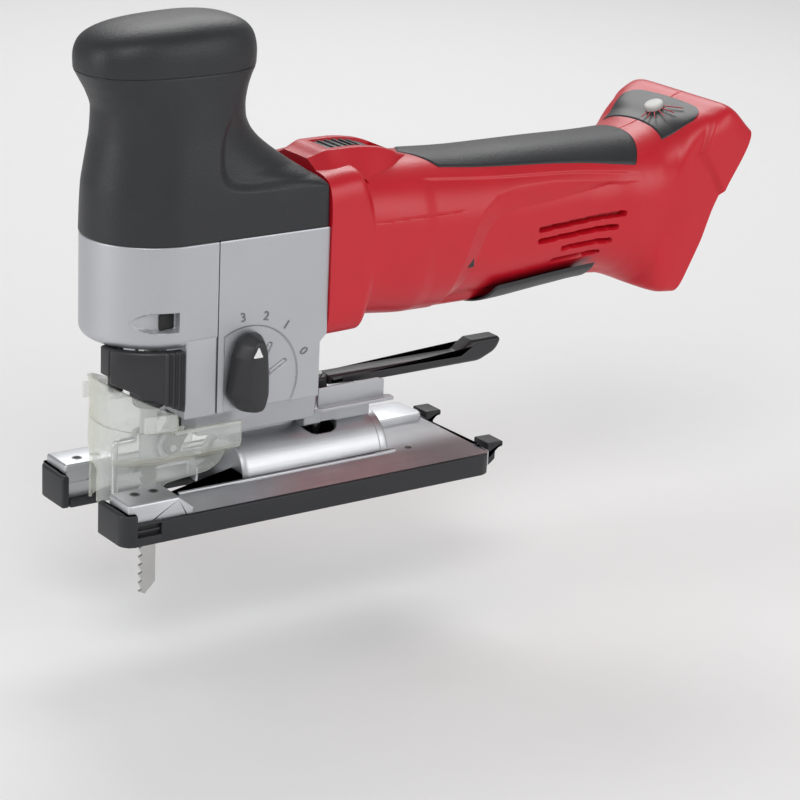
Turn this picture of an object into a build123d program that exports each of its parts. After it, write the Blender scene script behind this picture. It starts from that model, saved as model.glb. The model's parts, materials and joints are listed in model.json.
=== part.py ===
"""Body-grip cordless jigsaw, built as separate pieces in one frame (millimetres).

The origin is where the line of the blade crosses the sole. +Z is up, -X is forwards and
-Y is the left side of the tool, which carries the orbit selector. Each piece is written
to parts/NAME.step in its place, with the plunger at mid-stroke and the shoe square.
"""
from build123d import *
import math
import os

# ---- fits and gaps
RUN_GAP = 0.05  # radial clearance of a running fit
PASS_GAP = 0.3  # gap between bodies that only pass each other
SEAM_GAP = 0.25  # visible joint line between two castings
WALL = 3.0  # wall of the metal housing
SKIN = 2.5  # wall of the plastic motor housing

# ---- gear housing and nose
NOSE_X = 0.75  # centre of the rounded nose
NOSE_LENGTH = 30.7  # nose centre to the front
HALF_WIDTH = 29.3
HOUSING_REAR = 65.0
HOUSING_BOTTOM = 48.6
HOUSING_TOP = 123.4
NOSE_BOTTOM = 80.0  # underside of the nose, above the blade release lever
NOSE_FLOOR = 3.0
SEAM_X = 15.4  # joint between the front cover and the gear housing
POCKET_X = 0.0  # rear end of the open pocket in the nose
BAY_REAR = 12.0  # rear wall of the blade clamp bay
BAY_HALF = 12.5

# ---- blade, clamp and plunger
STROKE = 26.0
BLADE_WIDTH = 8.0
BLADE_THICK = 1.2
BLADE_TIP = -39.4
BLADE_TOP = 60.0
TOOTH_PITCH = 4.0
TOOTH_DEPTH = 1.6
ROD_RADIUS = 4.5
ROD_TOP = 171.0
CLAMP_RADIUS = 8.0
CLAMP_LOW = 47.5
CLAMP_HIGH = 66.5
BUSH_RADIUS = 7.0
BUSH_LENGTH = 14.0
LOWER_BUSH = 82.0
UPPER_BUSH = 142.3
BUSH_BOSS = 9.5

# ---- crank drive
MODULE = 1.0
PINION_TEETH = 8
GEAR_TEETH = 34
MOTOR_Z = 98.0
GEAR_X = (14.0, 22.0)
GEAR_CENTRE = (PINION_TEETH + GEAR_TEETH) * MODULE / 2
CRANK_Z = MOTOR_Z + GEAR_CENTRE
CRANK_PIN_RADIUS = 3.0
AXLE_RADIUS = 4.0
YOKE_X = (-8.0, 12.0)
YOKE_GROOVE_X = 6.0
YOKE_LOST_MOTION = 2.8  # opening above and below the crank pin
YOKE_WALL = 3.0
PLATE_X = (36.0, 41.0)

# ---- motor
SHAFT_RADIUS = 2.5
CAN_X = (66.5, 126.0)
CAN_RADIUS = 22.0
CAN_WALL = 1.5
CORE_X = (72.0, 102.0)
CORE_RADIUS = 15.2
COMMUTATOR_X = (110.0, 120.0)
COMMUTATOR_RADIUS = 8.0
FAN_X = (128.0, 138.0)
FAN_RADIUS = 20.0
BEARING_RADIUS = 8.0
REAR_BEARING_X = (142.0, 147.0)

# ---- motor housing
FLANGE_X = (65.3, 90.0)
FLANGE_HALF = 30.5
FLANGE_Z = (73.0, 146.0)
FLANGE_CORNER = 12.0
TUBE_END = 240.0
TUBE_Z = 106.0
TUBE_WIDTH = 62.0
TUBE_HEIGHT = 70.0
TUBE_CORNER = 28.0
HUMP_HALF = 16.5
SWITCH_X = (80.0, 108.0)
SWITCH_HALF = 7.0
SWITCH_TRAVEL = 6.0
GRIP_SKIN = 1.5
GRIP_X = (118.0, 234.0)
GRIP_Z = 134.0
INSERT_X = (147.0, 184.0)
INSERT_HALF = 14.0
VENT_PITCH = 8.5
VENT_HEIGHT = 3.2

# ---- battery mount
FOOT_HALF = 37.0
FOOT_SPAN = 104.0  # height of the flared end, measured along the battery face
FOOT_CORNER = 12.0
FACE_LOW = (255.5, 72.0)  # lower edge of the battery face, x and z
FACE_HIGH = (297.0, 144.5)
RAMP_LOW = (252.0, 142.8)
RAMP_HIGH = (284.0, 154.8)
BAY_DEPTH = 14.0
BAY_LENGTH = 68.0
BAY_WIDTH = 66.0
RAIL = 3.5
DIAL_RADIUS = 5.5

# ---- grip head and cap
HEAD_SECTIONS = [  # height, centre x, half length, half width
    (HOUSING_TOP, NOSE_X, NOSE_LENGTH, HALF_WIDTH),
    (145.0, 3.0, 29.5, 28.6),
    (168.0, 7.0, 30.5, 25.5),
    (180.0, 6.5, 34.0, 24.8),
    (191.5, 5.7, 38.3, 24.6),
]
CAP_SECTIONS = [
    (191.9, 5.7, 38.3, 24.6),
    (200.0, 5.7, 38.3, 24.6),
    (207.0, 6.5, 36.0, 22.0),
    (212.0, 8.0, 28.0, 16.0),
]
HEAD_SADDLE = [(4.0, 123.4), (64.6, 123.4), (64.6, 144.0), (58.0, 148.5), (48.0, 157.0), (38.0, 168.0), (4.0, 168.0)]
SADDLE_RISE = 46.0  # height of the saddle's rounded section

# ---- shoe
TILT_Z = 10.0
BARREL_RADIUS = 15.2
BARREL_BORE = 11.8
BARREL_X = (38.0, 108.0)
RING_RADIUS = 17.6
RING_WIDTH = 4.4
SHOE_X = (-29.4, 156.0)
SHOE_HALF = 36.0
SHOE_LOW = 3.0
SHOE_TOP = 12.8
SHOE_EDGE = 9.9  # height of the side rail and start of the shoe's sloped edge
PRONG_TOP = 18.2
PRONG_END = -8.0
PRONG_INNER = 18.6
PRONG_OUTER = 34.8
THROAT_HALF = 16.5
THROAT_END = 30.0
COVER_HALF = 38.0
COVER_FRONT = -32.7
COVER_END = 152.3
COVER_THROAT = 14.8
BUMPER_TOP = 14.5
ACCESSORY_X = (-20.5, -11.7)
ACCESSORY_Y = 24.8
ACCESSORY_RADIUS = 1.6
GUIDE_SLOT_X = (-24.0, -15.0)
GUIDE_SLOT_Z = (4.2, 9.2)
SLOT_X = (74.0, 90.0)
SLOT_ANGLE = 37.0

# ---- foot, tilt lock and bracket
FOOT_X = (12.0, 72.0)
FOOT_WIDTH = 20.0
FOOT_LOW = 35.5
RIB_HALF = 4.0
TAIL_X = (72.0, 106.0)
TAIL_HALF = 11.0
TAIL_Z = (29.0, 40.0)
BOLT_X = 84.0
BOLT_RADIUS = 3.0
LOCK_Z = (41.0, 48.0)
LOCK_HALF = 5.0

# ---- blade release lever, guide roller, selector, guard
LEVER_AXIS = (-20.0, -7.0)
LEVER_END = -1.5
LEVER_PIN = 1.5
ROLLER = (9.4, 27.0)  # x and z of its axis
ROLLER_RADIUS = 6.0
ROLLER_GROOVE = 5.0
ROLLER_PIN = 1.5
FORK = (22.0, 46.0)
FORK_PIN = 2.0
FORK_SLOT = 6.5
SELECTOR = (31.0, 61.0)
SELECTOR_SHAFT = 4.0
SELECTOR_REST = -8.0  # angle of the pointer from vertical, degrees
GUARD_WALL = 1.6
GUARD_HALF = 26.0
GUARD_NARROW = 14.4
GUARD_LENGTH = 26.0
GUARD_REAR = 30.5
WIRE_RADIUS = 1.5
WIRE_X = -16.2


# ---- small helpers
def block(x, y, z):
    """Box between three pairs of low and high values."""
    centre = Pos((x[0] + x[1]) / 2, (y[0] + y[1]) / 2, (z[0] + z[1]) / 2)
    return centre * Box(x[1] - x[0], y[1] - y[0], z[1] - z[0])


def rod_x(x, y, z, radius):
    """Cylinder along X between the two values of x."""
    return Pos((x[0] + x[1]) / 2, y, z) * Rot(0, 90, 0) * Cylinder(radius, x[1] - x[0])


def rod_y(x, y, z, radius):
    """Cylinder along Y between the two values of y."""
    return Pos(x, (y[0] + y[1]) / 2, z) * Rot(90, 0, 0) * Cylinder(radius, y[1] - y[0])


def rod_z(x, y, z, radius):
    """Cylinder along Z between the two values of z."""
    return Pos(x, y, (z[0] + z[1]) / 2) * Cylinder(radius, z[1] - z[0])


def side_prism(points, y):
    """Outline in X and Z, drawn out between the two values of y."""
    outline = make_face(Polyline(points, close=True))
    flat = Plane(origin=(0, y[1], 0), x_dir=(1, 0, 0), z_dir=(0, -1, 0)) * outline
    return extrude(flat, y[1] - y[0])


def ellipse_at(section, inset=0.0):
    """Ellipse of one head or cap section, shrunk all round by the inset."""
    height, centre, half_length, half_width = section
    return Pos(centre, 0, height) * Ellipse(half_length - inset, half_width - inset)


def nose_plan(inset=0.0, front=NOSE_LENGTH, half=HALF_WIDTH, rear=HOUSING_REAR):
    """Rounded nose with straight sides, as a flat face shrunk by the inset."""
    nose = Pos(NOSE_X, 0) * Ellipse(front - inset, half - inset)
    length = rear - inset - NOSE_X
    return nose + Pos(NOSE_X + length / 2, 0) * Rectangle(length, 2 * (half - inset))


def spur_gear(teeth, tooth_angle, x, y, z, bore):
    """Straight-toothed wheel along X, with one tooth centred on the given angle from +Y."""
    pitch = teeth * MODULE / 2
    root, tip = pitch - MODULE, pitch + 0.6 * MODULE
    half_root, half_tip = 0.32 * math.pi * MODULE, 0.13 * math.pi * MODULE
    tooth = make_face(Polyline(
        [(root - 0.3, -half_root), (tip, -half_tip), (tip, half_tip), (root - 0.3, half_root)], close=True))
    wheel = Circle(root) - Circle(bore)
    for index in range(teeth):
        wheel += Rot(0, 0, tooth_angle + index * 360 / teeth) * tooth
    plane = Plane(origin=(x[0], y, z), x_dir=(0, 1, 0), z_dir=(1, 0, 0))
    return extrude(plane * wheel, x[1] - x[0])


def face_plane():
    """Plane on the battery face: local x runs up the face, local z points out of it."""
    run, rise = FACE_HIGH[0] - FACE_LOW[0], FACE_HIGH[1] - FACE_LOW[1]
    length = math.hypot(run, rise)
    middle = ((FACE_LOW[0] + FACE_HIGH[0]) / 2, 0, (FACE_LOW[1] + FACE_HIGH[1]) / 2)
    return Plane(origin=middle, x_dir=(run / length, 0, rise / length), z_dir=(rise / length, 0, -run / length))


def ramp_plane():
    """Plane on the ramp behind the grip: local z points out of the surface."""
    run, rise = RAMP_HIGH[0] - RAMP_LOW[0], RAMP_HIGH[1] - RAMP_LOW[1]
    length = math.hypot(run, rise)
    middle = ((RAMP_LOW[0] + RAMP_HIGH[0]) / 2, 0, (RAMP_LOW[1] + RAMP_HIGH[1]) / 2)
    return Plane(origin=middle, x_dir=(run / length, 0, rise / length), z_dir=(-rise / length, 0, run / length))


# ---- metal housing
def housing_shell():
    """Nose and gear case with its chambers, before it is split at the seam."""
    shell = extrude(Pos(0, 0, HOUSING_BOTTOM) * nose_plan(), HOUSING_TOP - HOUSING_BOTTOM)
    floor = NOSE_BOTTOM + NOSE_FLOOR
    shell -= extrude(Pos(0, 0, floor) * nose_plan(WALL), HOUSING_TOP - floor)
    shell -= block((-60, POCKET_X), (-60, 60), (0, NOSE_BOTTOM))
    shell -= block((POCKET_X - 1, BAY_REAR), (-BAY_HALF, BAY_HALF), (0, NOSE_BOTTOM))
    low = (HOUSING_BOTTOM + WALL, NOSE_BOTTOM)
    inner = HALF_WIDTH - WALL
    shell -= block((SEAM_X + WALL, HOUSING_REAR - WALL), (-inner, inner), low)
    shell += rod_z(0, 0, (NOSE_BOTTOM, LOWER_BUSH + BUSH_LENGTH), BUSH_BOSS)
    shell -= rod_z(0, 0, (NOSE_BOTTOM - 1, LOWER_BUSH), ROD_RADIUS + PASS_GAP)
    shell -= rod_z(0, 0, (LOWER_BUSH, LOWER_BUSH + BUSH_LENGTH + 1), BUSH_RADIUS)
    return shell


def foot():
    """Block under the gear case, its saddle rib on the barrel and its tail with the tilt lock."""
    body = block(FOOT_X, (-FOOT_WIDTH, FOOT_WIDTH), (FOOT_LOW, HOUSING_BOTTOM))
    body += block((32.0, FOOT_X[1]), (-RIB_HALF, RIB_HALF), (TILT_Z, FOOT_LOW))
    body += block((94.0, 104.0), (-RIB_HALF, RIB_HALF), (TILT_Z, TAIL_Z[0]))
    body += block(TAIL_X, (-TAIL_HALF, TAIL_HALF), TAIL_Z)
    body -= rod_x((0, 130), 0, TILT_Z, BARREL_RADIUS + PASS_GAP)
    body -= rod_z(BOLT_X, 0, (TILT_Z, 60), BOLT_RADIUS + RUN_GAP)
    return body


def gear_housing():
    """Rear casting: gear case, foot, selector bore and fork slot."""
    body = housing_shell() & block((SEAM_X + SEAM_GAP, 80), (-60, 60), (0, 200))
    body += foot()
    body -= block((0, FORK[0] + 8), (-FORK_SLOT, FORK_SLOT), (0, NOSE_BOTTOM - 16))
    body -= rod_y(FORK[0], (-12, 12), FORK[1], FORK_PIN)
    body -= rod_y(SELECTOR[0], (-HALF_WIDTH - 1, 0), SELECTOR[1], SELECTOR_SHAFT + RUN_GAP)
    body -= rod_y(SELECTOR[0], (-HALF_WIDTH - 1, -HALF_WIDTH + 0.6), SELECTOR[1], 24.5) & block(
        (SEAM_X + 2, 62), (-60, 60), (HOUSING_BOTTOM + 1, 100))
    body -= rod_x((HOUSING_REAR - WALL - 1, HOUSING_REAR + 1), 0, MOTOR_Z, BEARING_RADIUS + 2)
    return body


def front_cover():
    """Front casting: nose, lower bush boss and the roof of the blade clamp bay."""
    body = housing_shell() & block((-60, SEAM_X), (-60, 60), (0, 200))
    body -= rod_z(*LEVER_AXIS, (NOSE_BOTTOM - 1, NOSE_BOTTOM + NOSE_FLOOR), LEVER_PIN)
    body -= block((FOOT_X[0], 30), (-FOOT_WIDTH, FOOT_WIDTH), (0, HOUSING_BOTTOM))
    return body


def gear_plate():
    """Plate that carries the motor's front bearing and the crank axle."""
    inner = HALF_WIDTH - WALL
    plate = block(PLATE_X, (-inner, inner), (NOSE_BOTTOM + NOSE_FLOOR, HOUSING_TOP))
    plate += rod_x(PLATE_X, 0, CRANK_Z, AXLE_RADIUS + 5)
    plate -= rod_x((PLATE_X[0] - 1, PLATE_X[1] + 1), 0, MOTOR_Z, BEARING_RADIUS)
    plate -= rod_x((PLATE_X[0] - 1, PLATE_X[1] + 1), 0, CRANK_Z, AXLE_RADIUS)
    return plate


def bush(low):
    """Plain bearing of the plunger, standing on the given height."""
    return rod_z(0, 0, (low, low + BUSH_LENGTH), BUSH_RADIUS) - rod_z(
        0, 0, (low - 1, low + BUSH_LENGTH + 1), ROD_RADIUS + RUN_GAP)


# ---- grip head
def head_solid(inset):
    """Head without its hollow: a lofted neck with the saddle that runs back to the motor housing."""
    neck = loft([ellipse_at(section, inset) for section in HEAD_SECTIONS])
    half = HALF_WIDTH - inset - 1.5
    plane = Plane(origin=(-60, 0, HOUSING_TOP), x_dir=(0, 1, 0), z_dir=(1, 0, 0))
    arch = extrude(plane * Ellipse(half, SADDLE_RISE - inset), 200)
    saddle = side_prism(HEAD_SADDLE, (-half, half))
    if inset:
        saddle = Pos(-inset, 0, -inset) * saddle
    return neck + (saddle & arch)


def grip_head():
    """Black grip head, hollow for the yoke, with the upper bush in a web."""
    shell = head_solid(0.0) - (head_solid(WALL) & block((-60, 80), (-60, 60), (0, 187.0)))
    web = head_solid(0.5) & block((-60, 45), (-60, 60), (UPPER_BUSH + 9, UPPER_BUSH + BUSH_LENGTH))
    shell += web + rod_z(0, 0, (UPPER_BUSH, UPPER_BUSH + BUSH_LENGTH), BUSH_BOSS)
    shell -= rod_z(0, 0, (UPPER_BUSH - 1, UPPER_BUSH + BUSH_LENGTH + 1), BUSH_RADIUS)
    return shell & block((-60, HOUSING_REAR - 0.2), (-60, 60), (HOUSING_TOP, 200))


def knob_cap():
    """Rounded palm cap on top of the head."""
    return loft([ellipse_at(section) for section in CAP_SECTIONS])


# ---- plunger, crank and armature
def blade():
    """Saw blade with forward-facing teeth and a slanted tip."""
    front, back = -BLADE_WIDTH / 2, BLADE_WIDTH / 2
    points = [(back, BLADE_TOP), (back, BLADE_TIP + 5), (back - 5, BLADE_TIP)]
    height = BLADE_TIP + 1.5
    while height < 20:
        points += [(front, height), (front + TOOTH_DEPTH, height + 0.7)]
        height += TOOTH_PITCH
    points += [(front, height), (front, BLADE_TOP)]
    return side_prism(points, (-BLADE_THICK / 2, BLADE_THICK / 2))


def blade_clamp():
    """Clamp collar on the end of the plunger, slotted for the blade."""
    body = rod_z(0, 0, (CLAMP_LOW, CLAMP_HIGH), CLAMP_RADIUS)
    body = chamfer(body.edges().sort_by(Axis.Z)[0], 1.2)
    body -= rod_z(0, 0, (BLADE_TOP + 1, CLAMP_HIGH + 1), ROD_RADIUS)
    half, thick = BLADE_WIDTH / 2 + 0.1, BLADE_THICK / 2 + 0.1
    return body - block((-half, half), (-thick, thick), (CLAMP_LOW - 1, BLADE_TOP + 1))


def yoke():
    """Cross-head of the plunger with the groove that the crank pin runs in."""
    half = STROKE / 2 + CRANK_PIN_RADIUS + 0.4
    rise = CRANK_PIN_RADIUS + YOKE_LOST_MOTION
    body = block(YOKE_X, (-half - YOKE_WALL, half + YOKE_WALL), (CRANK_Z - rise - YOKE_WALL, CRANK_Z + rise + YOKE_WALL))
    body -= block((YOKE_GROOVE_X, YOKE_X[1] + 1), (-half, half), (CRANK_Z - rise, CRANK_Z + rise))
    return body - rod_z(0, 0, (CRANK_Z - 30, CRANK_Z + 30), ROD_RADIUS)


def crank_gear():
    """Large gear, with one gap facing the pinion."""
    gap_angle = 270 + 180 / GEAR_TEETH
    wheel = spur_gear(GEAR_TEETH, gap_angle, GEAR_X, 0, CRANK_Z, AXLE_RADIUS + RUN_GAP)
    wheel += rod_x((GEAR_X[1], PLATE_X[0] - PASS_GAP), 0, CRANK_Z, AXLE_RADIUS + 3) - rod_x(
        (GEAR_X[1] - 1, PLATE_X[0]), 0, CRANK_Z, AXLE_RADIUS + RUN_GAP)
    return wheel - rod_x((GEAR_X[0] - 1, GEAR_X[1] + 1), STROKE / 2, CRANK_Z, CRANK_PIN_RADIUS)


def crank_pin():
    """Pin pressed into the gear, reaching into the yoke."""
    return rod_x((YOKE_GROOVE_X + 1, GEAR_X[1]), STROKE / 2, CRANK_Z, CRANK_PIN_RADIUS)


def armature_windings():
    """Copper end windings, one ring at each end of the core."""
    rings = [(CORE_X[0] - 4, CORE_X[0]), (CORE_X[1], CORE_X[1] + 6)]
    return [rod_x(x, 0, MOTOR_Z, CORE_RADIUS - 2) - rod_x(x, 0, MOTOR_Z, SHAFT_RADIUS) for x in rings]


def fan():
    """Cooling fan with straight blades on a back plate."""
    hub = rod_x(FAN_X, 0, MOTOR_Z, 6) + rod_x((FAN_X[0], FAN_X[0] + 1.5), 0, MOTOR_Z, FAN_RADIUS)
    vane = block((FAN_X[0] + 1, FAN_X[1]), (5, FAN_RADIUS - 1), (-0.8, 0.8))
    for index in range(9):
        hub += Pos(0, 0, MOTOR_Z) * Rot(index * 40, 0, 0) * vane
    return hub - rod_x((FAN_X[0] - 1, FAN_X[1] + 1), 0, MOTOR_Z, SHAFT_RADIUS)


# ---- motor parts that stand still
def motor_can():
    """Steel can with end walls, open round the commutator end for the brushes."""
    can = rod_x(CAN_X, 0, MOTOR_Z, CAN_RADIUS)
    can -= rod_x((CAN_X[0] + CAN_WALL, CAN_X[1] - CAN_WALL), 0, MOTOR_Z, CAN_RADIUS - CAN_WALL)
    return can - rod_x((CAN_X[0] - 1, CAN_X[1] + 1), 0, MOTOR_Z, BEARING_RADIUS + 1)


def motor_magnets():
    """Two curved magnets inside the can."""
    ring = rod_x(CORE_X, 0, MOTOR_Z, CAN_RADIUS - CAN_WALL) - rod_x(CORE_X, 0, MOTOR_Z, CORE_RADIUS + 0.6)
    cut = block((0, 200), (-60, 60), (MOTOR_Z - 7, MOTOR_Z + 7))
    return list((ring - cut).solids())


def motor_brushes():
    """Carbon brushes either side of the commutator."""
    x = (COMMUTATOR_X[0] + 1.5, COMMUTATOR_X[1] - 1.5)
    reach = (COMMUTATOR_RADIUS + PASS_GAP, CAN_RADIUS - CAN_WALL - 1)
    height = (MOTOR_Z - 3, MOTOR_Z + 3)
    return [block(x, reach, height), block(x, (-reach[1], -reach[0]), height)]


def bearing(x):
    """Ball bearing drawn as one ring that grips the housing and runs on the shaft."""
    return rod_x(x, 0, MOTOR_Z, BEARING_RADIUS) - rod_x(
        (x[0] - 1, x[1] + 1), 0, MOTOR_Z, SHAFT_RADIUS + RUN_GAP)


def bearing_holder():
    """Bracket behind the fan that holds the rear bearing between the clamshells."""
    x = (REAR_BEARING_X[0], REAR_BEARING_X[1])
    half = TUBE_WIDTH / 2 - SKIN - 1.0
    body = rod_x(x, 0, MOTOR_Z, BEARING_RADIUS + 3) + block(x, (-half, half), (MOTOR_Z - 3, MOTOR_Z + 3))
    return body - rod_x((x[0] - 1, x[1] + 1), 0, MOTOR_Z, BEARING_RADIUS)


# ---- plastic motor housing
def tube(inset, x):
    """Barrel grip section, drawn out between the two values of x."""
    section = RectangleRounded(TUBE_WIDTH - 2 * inset, TUBE_HEIGHT - 2 * inset, TUBE_CORNER - inset)
    plane = Plane(origin=(x[0], 0, TUBE_Z), x_dir=(0, 1, 0), z_dir=(1, 0, 0))
    return extrude(plane * section, x[1] - x[0])


def flange(inset, x):
    """Squarer front end of the motor housing, against the gear case."""
    height = FLANGE_Z[1] - FLANGE_Z[0] - 2 * inset
    section = RectangleRounded(2 * (FLANGE_HALF - inset), height, FLANGE_CORNER - inset)
    plane = Plane(origin=(x[0], 0, sum(FLANGE_Z) / 2), x_dir=(0, 1, 0), z_dir=(1, 0, 0))
    return extrude(plane * section, x[1] - x[0])


def hump(inset):
    """Raised switch housing on top of the front end."""
    front, low = FLANGE_X[0] + inset, FLANGE_Z[1] - 12
    points = [(front, low), (front, 150.5 - inset), (70 + inset, 155 - inset), (84, 155.5 - inset),
              (100, 151.5 - inset), (116, 147 - inset), (122 - inset, low)]
    return side_prism(points, (-HUMP_HALF + inset, HUMP_HALF - inset))


def battery_foot(inset):
    """Flared rear end whose slanted face takes the battery."""
    points = [(205, 92), (241, 75.5), (249, 71), FACE_LOW, FACE_HIGH, RAMP_HIGH, RAMP_LOW, (222, 138)]
    outline = make_face(Polyline(points, close=True))
    if inset:
        outline = offset(outline, -inset)
    half = FOOT_HALF - inset
    flat = Plane(origin=(0, half, 0), x_dir=(1, 0, 0), z_dir=(0, -1, 0)) * outline
    rounded = face_plane() * Pos(0, 0, -90) * RectangleRounded(
        FOOT_SPAN - 2 * inset, 2 * half, FOOT_CORNER - inset)
    return extrude(flat, 2 * half) & extrude(rounded, 100)


def battery_bay(grow):
    """Recess in the battery face, grown all round for the wall behind it."""
    size = (BAY_LENGTH + 2 * grow, BAY_WIDTH + 2 * grow, BAY_DEPTH + 2 + grow)
    return face_plane() * Pos(0, 0, 2 - size[2] / 2) * Box(*size)


SCREWS = [(120.0, 129.0), (146.0, 80.5), (212.0, 128.0), (187.0, 78.5), (240.0, 112.0)]  # x and z
SCREW_IN_FOOT = 225.0  # screws behind this go through the flared end


def screw_reach(place):
    """How far out the head of a housing screw sits."""
    if place[0] > SCREW_IN_FOOT:
        return FOOT_HALF - 1.5
    rise = max(abs(place[1] - TUBE_Z) - (TUBE_HEIGHT / 2 - TUBE_CORNER), 0)
    return TUBE_WIDTH / 2 - TUBE_CORNER + math.sqrt(TUBE_CORNER ** 2 - rise ** 2) - 1.5


def housing_screws():
    """Clamshell screws, driven from the right-hand side."""
    screws = []
    for x, z in SCREWS:
        reach = screw_reach((x, z))
        screws.append(rod_y(x, (-6, reach - 2.5), z, 1.6) + rod_y(x, (reach - 2.5, reach), z, 3.0))
    return screws


def motor_housing():
    """Both clamshells as one hollow body, before it is split down the middle."""
    outer = flange(0, FLANGE_X) + tube(0, (88, TUBE_END)) + hump(0) + battery_foot(0)
    inner = flange(SKIN, (FLANGE_X[0] - 1, FLANGE_X[1] - SKIN)) + tube(SKIN, (80, TUBE_END))
    inner += hump(SKIN) + (battery_foot(SKIN) - battery_bay(SKIN))
    body = outer - inner
    for x, z in SCREWS:
        reach = screw_reach((x, z))
        body += rod_y(x, (-reach, reach - 0.5), z, 4.2)
        body -= rod_y(x, (-6, reach), z, 1.6) + rod_y(x, (reach - 2.5, 60), z, 3.0)
    body -= battery_bay(0)
    body -= grip_skin(0.0) + insert_skin(0.0)
    slot_x = (SWITCH_X[0] - SWITCH_TRAVEL - PASS_GAP, SWITCH_X[1] + PASS_GAP)
    slot_half = SWITCH_HALF + PASS_GAP
    body -= block(slot_x, (-slot_half, slot_half), (130, 170))
    body -= ramp_plane() * Cylinder(DIAL_RADIUS / 2 + PASS_GAP, 14)
    for index in range(4):
        z = 106.5 - index * VENT_PITCH
        shift = 0 if index < 2 else 8
        vent = block((184 + shift, 230 - 2 * index), (-60, 60), (z - VENT_HEIGHT / 2, z + VENT_HEIGHT / 2))
        body -= Pos(184, 0, z) * Rot(0, -7, 0) * Pos(-184, 0, -z) * vent
    return body


def grip_skin(inset):
    """Soft top cover of the grip, let into the clamshells."""
    outer = tube(0, (GRIP_X[0] + inset, GRIP_X[1] - inset))
    body = outer - tube(GRIP_SKIN, (GRIP_X[0] - 1, GRIP_X[1] + 1))
    return body & block((0, 300), (-60, 60), (GRIP_Z + inset, 200))


def insert_skin(inset):
    """Wear pad under the grip, let into the clamshells."""
    outer = tube(0, (INSERT_X[0] + inset, INSERT_X[1] - inset))
    body = outer - tube(GRIP_SKIN, (INSERT_X[0] - 1, INSERT_X[1] + 1))
    return body & block((0, 300), (-INSERT_HALF + inset, INSERT_HALF - inset), (0, TUBE_Z))


def slide_switch():
    """On-off slider in the hump."""
    points = [(SWITCH_X[0], 139), (SWITCH_X[0], 154.2), (SWITCH_X[1], 148.2), (SWITCH_X[1], 139)]
    body = side_prism(points, (-SWITCH_HALF, SWITCH_HALF))
    for index in range(5):
        x = SWITCH_X[0] + 5 + index * 4.0
        body -= block((x, x + 1.4), (-60, 60), (152.8 - index * 0.86, 170))
    return body


def dial_panel():
    """Dark trim on the ramp, round the speed dial."""
    plate = ramp_plane() * Pos(0, 0, 0.6) * Box(17, 40, 1.2)
    return plate - ramp_plane() * Cylinder(DIAL_RADIUS / 2 + PASS_GAP, 14)


def speed_dial():
    """Thumb dial on a short stem."""
    knob = Pos(0, 0, 2.6) * Cylinder(DIAL_RADIUS, 2.2)
    return ramp_plane() * (knob + Pos(0, 0, -2.0) * Cylinder(DIAL_RADIUS / 2, 8))


def battery_rails():
    """Guide rails on the side walls of the battery bay."""
    rails = []
    for side in (-1, 1):
        y = side * (BAY_WIDTH / 2 - RAIL / 2)
        rails.append(face_plane() * Pos(0, y, -2.5) * Box(BAY_LENGTH, RAIL, 3))
    return rails


def terminal_block():
    """Contact carrier at the bottom of the battery bay, with its blades."""
    body = face_plane() * Pos(0, 0, -BAY_DEPTH + 3) * Box(30, 24, 6)
    for y in (-9, -3, 3, 9):
        body += face_plane() * Pos(0, y, -BAY_DEPTH + 6.5) * Box(12, 0.8, 5)
    return body


# ---- shoe
def shoe():
    """Cast shoe: plate with sloped edges, prongs, barrel, ring and rear pad."""
    half, top = SHOE_HALF, SHOE_TOP
    section = [(-half, SHOE_LOW), (-half, SHOE_EDGE), (-half + 6.0, top), (half - 6.0, top), (half, SHOE_EDGE),
               (half, SHOE_LOW)]
    plane = Plane(origin=(SHOE_X[0], 0, 0), x_dir=(0, 1, 0), z_dir=(1, 0, 0))
    body = extrude(plane * make_face(Polyline(section, close=True)), SHOE_X[1] - SHOE_X[0])
    for side in (-1, 1):
        y = sorted((side * PRONG_INNER, side * PRONG_OUTER))
        body += block((SHOE_X[0], PRONG_END), y, (SHOE_LOW, PRONG_TOP))
    body += rod_x(BARREL_X, 0, TILT_Z, BARREL_RADIUS)
    body += rod_x((BARREL_X[1] - 0.5, BARREL_X[1] + RING_WIDTH), 0, TILT_Z, RING_RADIUS)
    body += block((BARREL_X[1] + 2, 149), (7.6, 27), (top - 1, 16.1))
    body &= block((-100, 200), (-60, 60), (SHOE_LOW, 60))
    body -= rod_x((BARREL_X[0] - 20, BARREL_X[1] - 3), 0, TILT_Z, BARREL_BORE)
    throat = THROAT_HALF
    body -= block((-60, THROAT_END), (-throat, throat), (-10, 60))
    body -= block((-60, PRONG_END), (-PRONG_INNER, PRONG_INNER), (-10, 60))
    wedge = BARREL_BORE * math.tan(math.radians(SLOT_ANGLE)) * 1.6
    window = block(SLOT_X, (-wedge, wedge), (TILT_Z + 4, 60))
    limit = side_prism_x([(0, TILT_Z), (-30 * math.tan(math.radians(SLOT_ANGLE)), TILT_Z + 30),
                          (30 * math.tan(math.radians(SLOT_ANGLE)), TILT_Z + 30)], SLOT_X)
    body -= window & limit
    body -= block((8, 110), (-18.6, -16.8), (top - 1.0, top + 5))
    for x in ACCESSORY_X:
        for y in (-ACCESSORY_Y, ACCESSORY_Y):
            body -= rod_z(x, y, (PRONG_TOP - 6, PRONG_TOP + 1), ACCESSORY_RADIUS)
    body -= block(GUIDE_SLOT_X, (-60, 60), GUIDE_SLOT_Z)
    return body - rod_z(122, -20, (SHOE_LOW - 1, top + 1), 1.5)


def side_prism_x(points, x):
    """Outline in Y and Z, drawn out between the two values of x."""
    plane = Plane(origin=(x[0], 0, 0), x_dir=(0, 1, 0), z_dir=(1, 0, 0))
    return extrude(plane * make_face(Polyline(points, close=True)), x[1] - x[0])


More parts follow.
